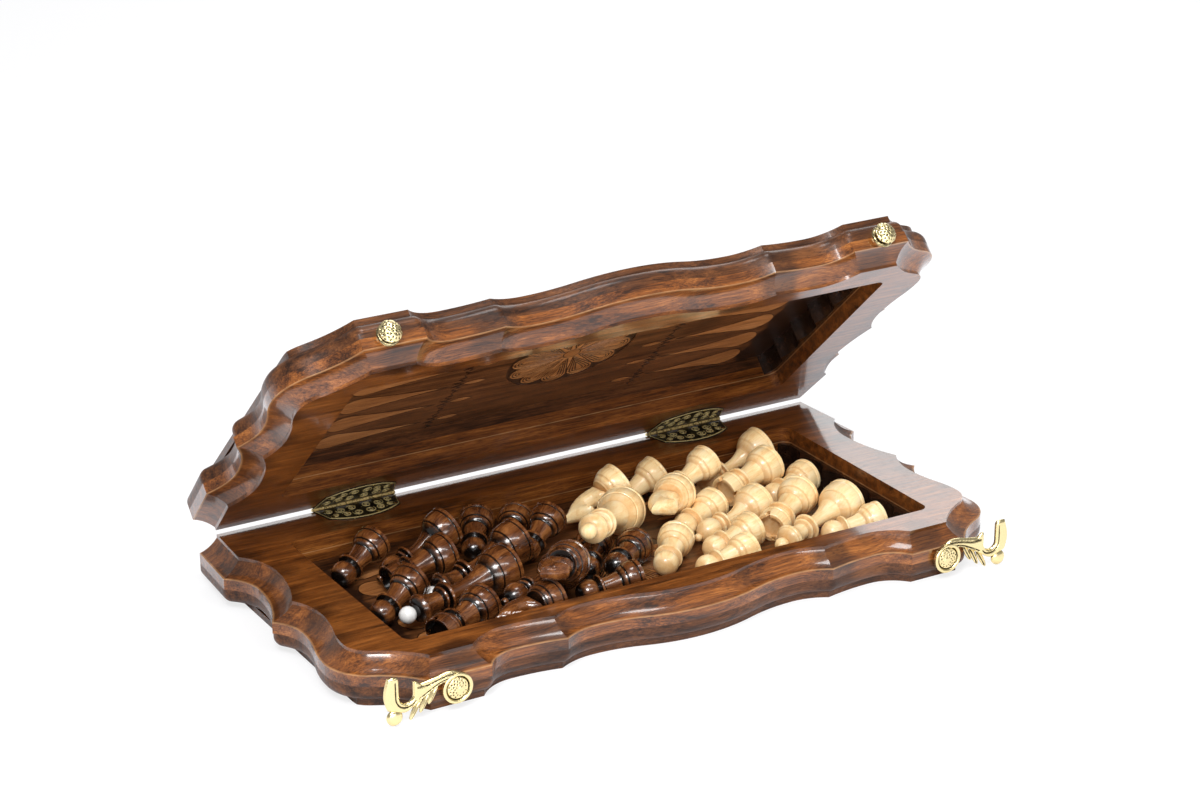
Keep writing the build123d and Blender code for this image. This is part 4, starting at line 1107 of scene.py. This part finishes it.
def in_each_row(mesh):
    """The mesh once on either side of each row."""
    verts, faces = mesh
    copies = []
    for i in range(WELLS):
        middle = (RECESS_BACK_Y - (i + 0.5) * WELL_PITCH) / MM
        copies += [([(side * x, y + middle, z) for x, y, z in verts], faces) for side in (1, -1)]
    return many(copies)


def add_field_cuts():
    """Dark lines on each half's field, and the small leaves."""
    cuts = [ribbon(spire_loop(), SCORCH_W, 0.0, SCORCH_H, True)]
    cuts += [ribbon(leaf_loop(), LEAF_SCORCH_W, 0.0, SCORCH_H, True)]
    cuts += [ribbon(line, DART_W, 0.0, DART_H) for line in dart_lines(WELL_PITCH / MM)]
    meshes = {"field_cuts": in_each_row(many(cuts)), "leaf_inlays": in_each_row(leaf_slab())}
    for half, matrix in HALVES.items():
        seat = matrix @ Matrix.Translation((0, 0, FLOOR_Z))
        for name, mesh in meshes.items():
            flat = [0.0] * len(mesh[0])
            relief_object(f"{half}_{name}", mesh, flat, seat, half, finishes[half][name], 30)


# Pits of the stippled domes, spread evenly by the golden angle
GOLDEN_TURN = math.pi * (3 - math.sqrt(5))
PIT_R = 0.62
PIT_DEPTH = 0.6


def spiral_pits(count, radius):
    """Pit centres on a disc."""
    return [polar(radius * math.sqrt((i + 0.5) / count), i * GOLDEN_TURN) for i in range(count)]


def sphere_pits(count):
    """Directions of the pits on the upper half of a ball."""
    pits = []
    for i in range(count):
        height = 1 - (i + 0.5) / count
        pits.append((*polar(math.sqrt(1 - height**2), i * GOLDEN_TURN), height))
    return pits


def to_pits(points, pits):
    """Each point's distance to the nearest pit."""
    return np.min([np.linalg.norm(points - pit, axis=1) for pit in np.array(pits)], axis=0)


# Hook, from its pivot as seen from the front: x to the right, the second number up. Z is a height over
# the casting's back, H a height over what is below, W a width, T a thickness, and R a radius, or half
# the width of a groove
PLATE_T = 2.4
CRADLE = (-43.3, 5.3)
CRADLE_R = 6.0
LIP_TOP = 15.0
HORN_TOP = 22.1
ARM_EDGE_Z = 1.5
ARM_EDGE_W = 2.4
ARM_EDGE_H = 1.5
ARM_CUT_R = 0.9
ARM_CUT_DEPTH = 1.0
CUT_AWAY = CRADLE_R + 3.0
SCROLL_CENTRE = (-1.6, 1.0)
SCROLL_R = 12.3
RING_R = 10.9
RING_HALF_W = 1.5
RING_H = 0.9
STUD_R = 9.1
STUD_H = 1.4
STUD_PITS = 34
MOAT_R = 0.9
MOAT_DEPTH = 0.9
BALL_R = 6.3
BALL_BELOW = 10.4
BALL_SEAT = 0.6
BALL_H = 3.2
STROKES = [((-17.8, 8.2), (-25.4, -6.3)), ((-24.2, 5.2), (-32.3, -11.5)), ((-31.0, 1.3), (-40.6, -15.4))]
STROKE_HALF_W = 2.1
STROKE_EDGE_Z = 1.2
STROKE_EDGE_W = 1.6
STROKE_EDGE_H = 1.4
VEIN_R = 0.75
VEIN_DEPTH = 0.9


def arm_outline():
    """The arm from the scroll to the cradle, with its lip and horn."""
    cx, cz = CRADLE
    right, left = cx + CRADLE_R, cx - CRADLE_R
    top = [(2.5, 12.4), (-4.6, 15.8), (-13.5, 15.4), (-20.3, 13.8), (right + 6.0, 12.1)]
    lip = [(right + 2.1, LIP_TOP), (right, LIP_TOP), (right, cz)]
    bowl = arc_points((right, cz), (cx, cz - CRADLE_R), (left, cz), 1.0)
    horn = [(left, HORN_TOP - 2.4), (left - 1.6, HORN_TOP), (left - 8.7, HORN_TOP)]
    back = [(left - 11.1, 13.7), (left - 11.8, 7.2), (left - 10.9, 1.6), (left - 9.1, -3.6)]
    under = [(left + 3.8, -8.0), (right - 4.8, -7.3), (right, -4.5), (-26.8, 1.7), (-15.1, 7.4), (-4.0, 8.9)]
    loop = curve_through(top, 5) + lip + bowl + horn
    return loop + curve_through([horn[-1], *back], 4)[1:] + curve_through(under, 5)


def arm_cuts():
    """The grooves along the arm and round the cradle."""
    cx, cz = CRADLE
    side = (cx - CUT_AWAY, cz)
    end = (cx + CUT_AWAY * 0.8, cz - CUT_AWAY * 0.6)
    round_cradle = [(side[0], 18.0), side, *arc_points(side, (cx, cz - CUT_AWAY), end, 1.0)]
    upper = curve_through([(cx + CUT_AWAY, 10.0), (-26.0, 9.8), (-16.0, 12.2), (-7.0, 13.4), (0.0, 12.6)], 4)
    lower = curve_through([(-33.0, 0.6), (-24.0, 5.4), (-15.0, 9.4), (-6.0, 10.6)], 4)
    return [round_cradle, upper, lower]


def carved_plate(loop, spacing, top):
    """A plate on a flat back whose top gives heights and hollows, as a mesh and its points' hollows."""
    hollows = []

    def heights(points, from_edge):
        tops, cuts = top(points, from_edge)
        hollows.extend(cuts)
        return tops

    mesh = plate(loop, spacing, heights, lambda points, edge: np.zeros(len(points)))
    return mesh, hollows + [0.0] * (len(mesh[0]) - len(hollows))


def arm_top(points, from_edge):
    """The arm's face, rounded at its edge and grooved."""
    cut = ridge(to_lines(points, arm_cuts()), ARM_CUT_R)
    return ARM_EDGE_Z + ARM_EDGE_H * dome(ridge(from_edge, ARM_EDGE_W)) - ARM_CUT_DEPTH * cut, cut


def scroll_top(points):
    """A raised ring round a moat and a stippled stud."""
    radius = np.linalg.norm(points, axis=1)
    moat = ridge(abs(radius - STUD_R), MOAT_R)
    ring = RING_H * dome((radius - RING_R) / RING_HALF_W)
    nearest = to_pits(points, spiral_pits(STUD_PITS, STUD_R - 1.2))
    stipple = np.exp(-(nearest / PIT_R) ** 2) * (radius < STUD_R - 0.6)
    stud = np.where(radius < STUD_R, STUD_H * (1 - (radius / STUD_R) ** 2), 0.0)
    tops = PLATE_T + ring + stud - PIT_DEPTH * stipple - MOAT_DEPTH * moat
    return tops, np.maximum(stipple, moat)


def ball_top(points):
    """The ball below the cradle."""
    radius = np.linalg.norm(points, axis=1)
    return BALL_SEAT + BALL_H * dome(radius / (BALL_R + 0.1)), np.zeros(len(points))


def laid(part, x, y, turn=0.0):
    """A casting turned and moved on the plane of its back."""
    (verts, faces), hollows = part
    c, s = math.cos(turn), math.sin(turn)
    return ([(x + a * c - b * s, y + a * s + b * c, z) for a, b, z in verts], faces), hollows


def leaf_stroke(top, tip):
    """A leaf below the arm, long and narrow, with a cut vein."""
    length = math.dist(top, tip)
    oval = [(length / 2 * math.cos(t), STROKE_HALF_W * math.sin(t)) for t in np.radians(range(0, 360, 12))]
    vein = [[(2.0 - length / 2, -0.5), (length / 2, -0.9)]]

    def stroke_top(points, from_edge):
        cut = ridge(to_lines(points, vein), VEIN_R)
        edge = np.clip(from_edge / STROKE_EDGE_W, 0, 1)
        return STROKE_EDGE_Z + STROKE_EDGE_H * edge - VEIN_DEPTH * cut, cut

    lean = math.atan2(top[1] - tip[1], top[0] - tip[0])
    return laid(carved_plate(oval, 0.6, stroke_top), (top[0] + tip[0]) / 2, (top[1] + tip[1]) / 2, lean)


def hook_mesh():
    """The casting lying on its back at height 0, with the depth of each point's hollow."""
    parts = [carved_plate(arm_outline(), 0.8, arm_top)]
    parts.append(laid(grid_disc(SCROLL_R, 0.4, 160, scroll_top), *SCROLL_CENTRE))
    parts.append(laid(grid_disc(BALL_R, 0.5, 72, ball_top), CRADLE[0] - CRADLE_R - 3.7, -BALL_BELOW))
    parts += [leaf_stroke(*ends) for ends in STROKES]
    return many([mesh for mesh, _ in parts]), [hollow for _, hollows in parts for hollow in hollows]


def add_hooks():
    """A cast hook in place of each CAD one, and on its pivot as the CAD one is."""
    mesh, depths = hook_mesh()
    for word, side in (("left", -1), ("right", 1)):
        body = "hook_" + word
        pivot = Vector(joints[word + "_latch"]["pos_m"])
        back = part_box(body)[1].y
        # The casting's x, y and height become the part's x, z and -y
        stand = Matrix(((-side, 0, 0, pivot.x), (0, 0, -1, back), (0, 1, 0, pivot.z), (0, 0, 0, 1)))
        piece = relief_object("hook_casting_" + word, mesh, depths, stand, body, cast_brass)
        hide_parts(body)


# Knob: a collar, a neck and a stippled head, as (distance out, radius)
KNOB_COLLAR = [[(0.0, 9.3)], [(1.2, 9.3), (2.6, 6.6)]]
KNOB_NECK = [[(3.2, 3.7)], [(5.4, 3.7)]]
KNOB_HEAD = [[(5.6, 7.6)], [(6.6, 9.2), (8.0, 8.3)], [(10.4, 6.2), (12.0, 2.4)], [(12.1, 0.0)]]
KNOB_SEGMENTS = 120
KNOB_PITS = 46
KNOB_PIT_R = 0.75
KNOB_PIT_DEPTH = 0.7
HEAD_CENTRE = 5.0
# How dark the neck under the head is painted, as shade.
NECK_SHADE = 0.5


def knob_mesh():
    """The knob standing on its collar, with the depth of each point's hollow, and painted shade on its neck.
    """
    verts, faces = lathe(KNOB_COLLAR + KNOB_NECK + KNOB_HEAD, KNOB_SEGMENTS)
    array = np.array(verts)
    ways = array - np.array([0.0, 0.0, HEAD_CENTRE])
    reach = np.linalg.norm(ways, axis=1)
    ways /= reach[:, None]
    head = array[:, 2] > KNOB_HEAD[0][0][0]
    pit = np.exp(-(to_pits(ways, sphere_pits(KNOB_PITS)) * reach / KNOB_PIT_R) ** 2) * head
    array -= ways * (KNOB_PIT_DEPTH * pit)[:, None]
    neck = (array[:, 2] < KNOB_HEAD[0][0][0]) & (array[:, 2] > KNOB_COLLAR[1][0][0])
    return (array.tolist(), faces), np.maximum(pit, NECK_SHADE * neck)


def knob_seat(node):
    """A knob's place: square to the opened lid's front, with its end where the CAD knob's is."""
    out = Matrix.Rotation(-OPEN, 4, "X").to_3x3() @ Vector((0, -1, 0))
    points = np.array([tuple(v.co) for v in node.data.vertices])
    reach = points @ np.array(out)
    middle = Vector(points[reach > reach.max() - 0.2 * MM].mean(0))
    foot_at = middle - out * (KNOB_HEAD[-1][0][0] * MM)
    right = Vector((1, 0, 0))
    return Matrix.Translation(foot_at) @ Matrix((right, out.cross(right), out)).transposed().to_4x4()


def add_knobs():
    """A cast knob in place of each CAD one."""
    mesh, depths = knob_mesh()
    for word in ("left", "right"):
        name = "latch_knob_" + word
        seat = knob_seat(nodes[name])
        piece = relief_object("knob_casting_" + word, mesh, depths, seat, "lid", cast_brass)
        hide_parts(name)


# Scrollwork on the hinge leaves, for x of either sign: (x from the leaf's middle, depth, radius, way round)
SCROLLS = [(7.0, 9.0, 4.4, 1), (17.0, 9.5, 4.6, -1), (27.0, 8.0, 3.8, 1)]
SCROLLS += [(5.5, 19.5, 4.8, -1), (15.5, 19.0, 4.0, 1), (24.5, 16.5, 3.2, -1)]
SCROLL_STEPS = 34
SCROLL_TURN = 3.4 * math.pi
SCROLL_START = 0.6
SCROLL_SHRINK = 0.86
BORDER_W = 1.0
FILIGREE_W = 0.9
FILIGREE_H = 0.34
# How far the border's ends and shoulders lie in from the leaf's sides, and their and its bottom's
# distances from the hinge edge
BORDER_IN = 1.0
SHOULDER_IN = 5.8
BORDER_FROM = 1.6
SHOULDER_AT = 20.0
BORDER_TO = 29.9


def scroll_line(x, depth, radius, way):
    """A spiral that ends in its middle."""
    line = []
    for share in np.linspace(0, 1, SCROLL_STEPS):
        turn = way * share * SCROLL_TURN + SCROLL_START
        right, up = polar(radius * (1 - SCROLL_SHRINK * share), turn)
        line.append((x + right, up - depth))
    return line


def leaf_edge(half):
    """The border's line, a little in from the leaf's outline, on the side away from the pin."""
    shoulder = (half - SHOULDER_IN, -SHOULDER_AT)
    bottom = arc_points(shoulder, (0.0, -BORDER_TO), (-shoulder[0], -SHOULDER_AT), 2.0)
    ends = [(half - BORDER_IN, -BORDER_FROM), (BORDER_IN - half, -BORDER_FROM)]
    return [ends[0], shoulder, *bottom, ends[1]]


def add_filigree():
    """Raised scrolls and a border on the four hinge leaves."""
    low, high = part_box("base_hinge_leaf_left")
    points = [v.co for v in nodes["base_hinge_leaf_left"].data.vertices]
    top = max(p.z for p in points if p.y < HINGE_Y - 10 * MM)
    lines = [ribbon(leaf_edge((high.x - low.x) / MM / 2), BORDER_W, 0.0, FILIGREE_H)]
    for scroll in SCROLLS:
        spiral = scroll_line(*scroll)
        lines += [ribbon([(side * x, y) for x, y in spiral], FILIGREE_W, 0.0, FILIGREE_H) for side in (1, -1)]
    mesh = many(lines)
    flat = [0.0] * len(mesh[0])
    for half, matrix in HALVES.items():
        for word, side in (("left", 1), ("right", -1)):
            seat = matrix @ Matrix.Translation((side * (low.x + high.x) / 2, HINGE_Y, top))
            name = f"{half}_filigree_{word}"
            relief_object(name, mesh, flat, seat, half, scroll_brass, 30)


clad_nodes()
add_stage()
add_men()
add_medallions()
add_field_cuts()
add_hooks()
add_knobs()
add_filigree()


def corners(box):
    """A box's two corners as lists."""
    return [list(corner) for corner in box]
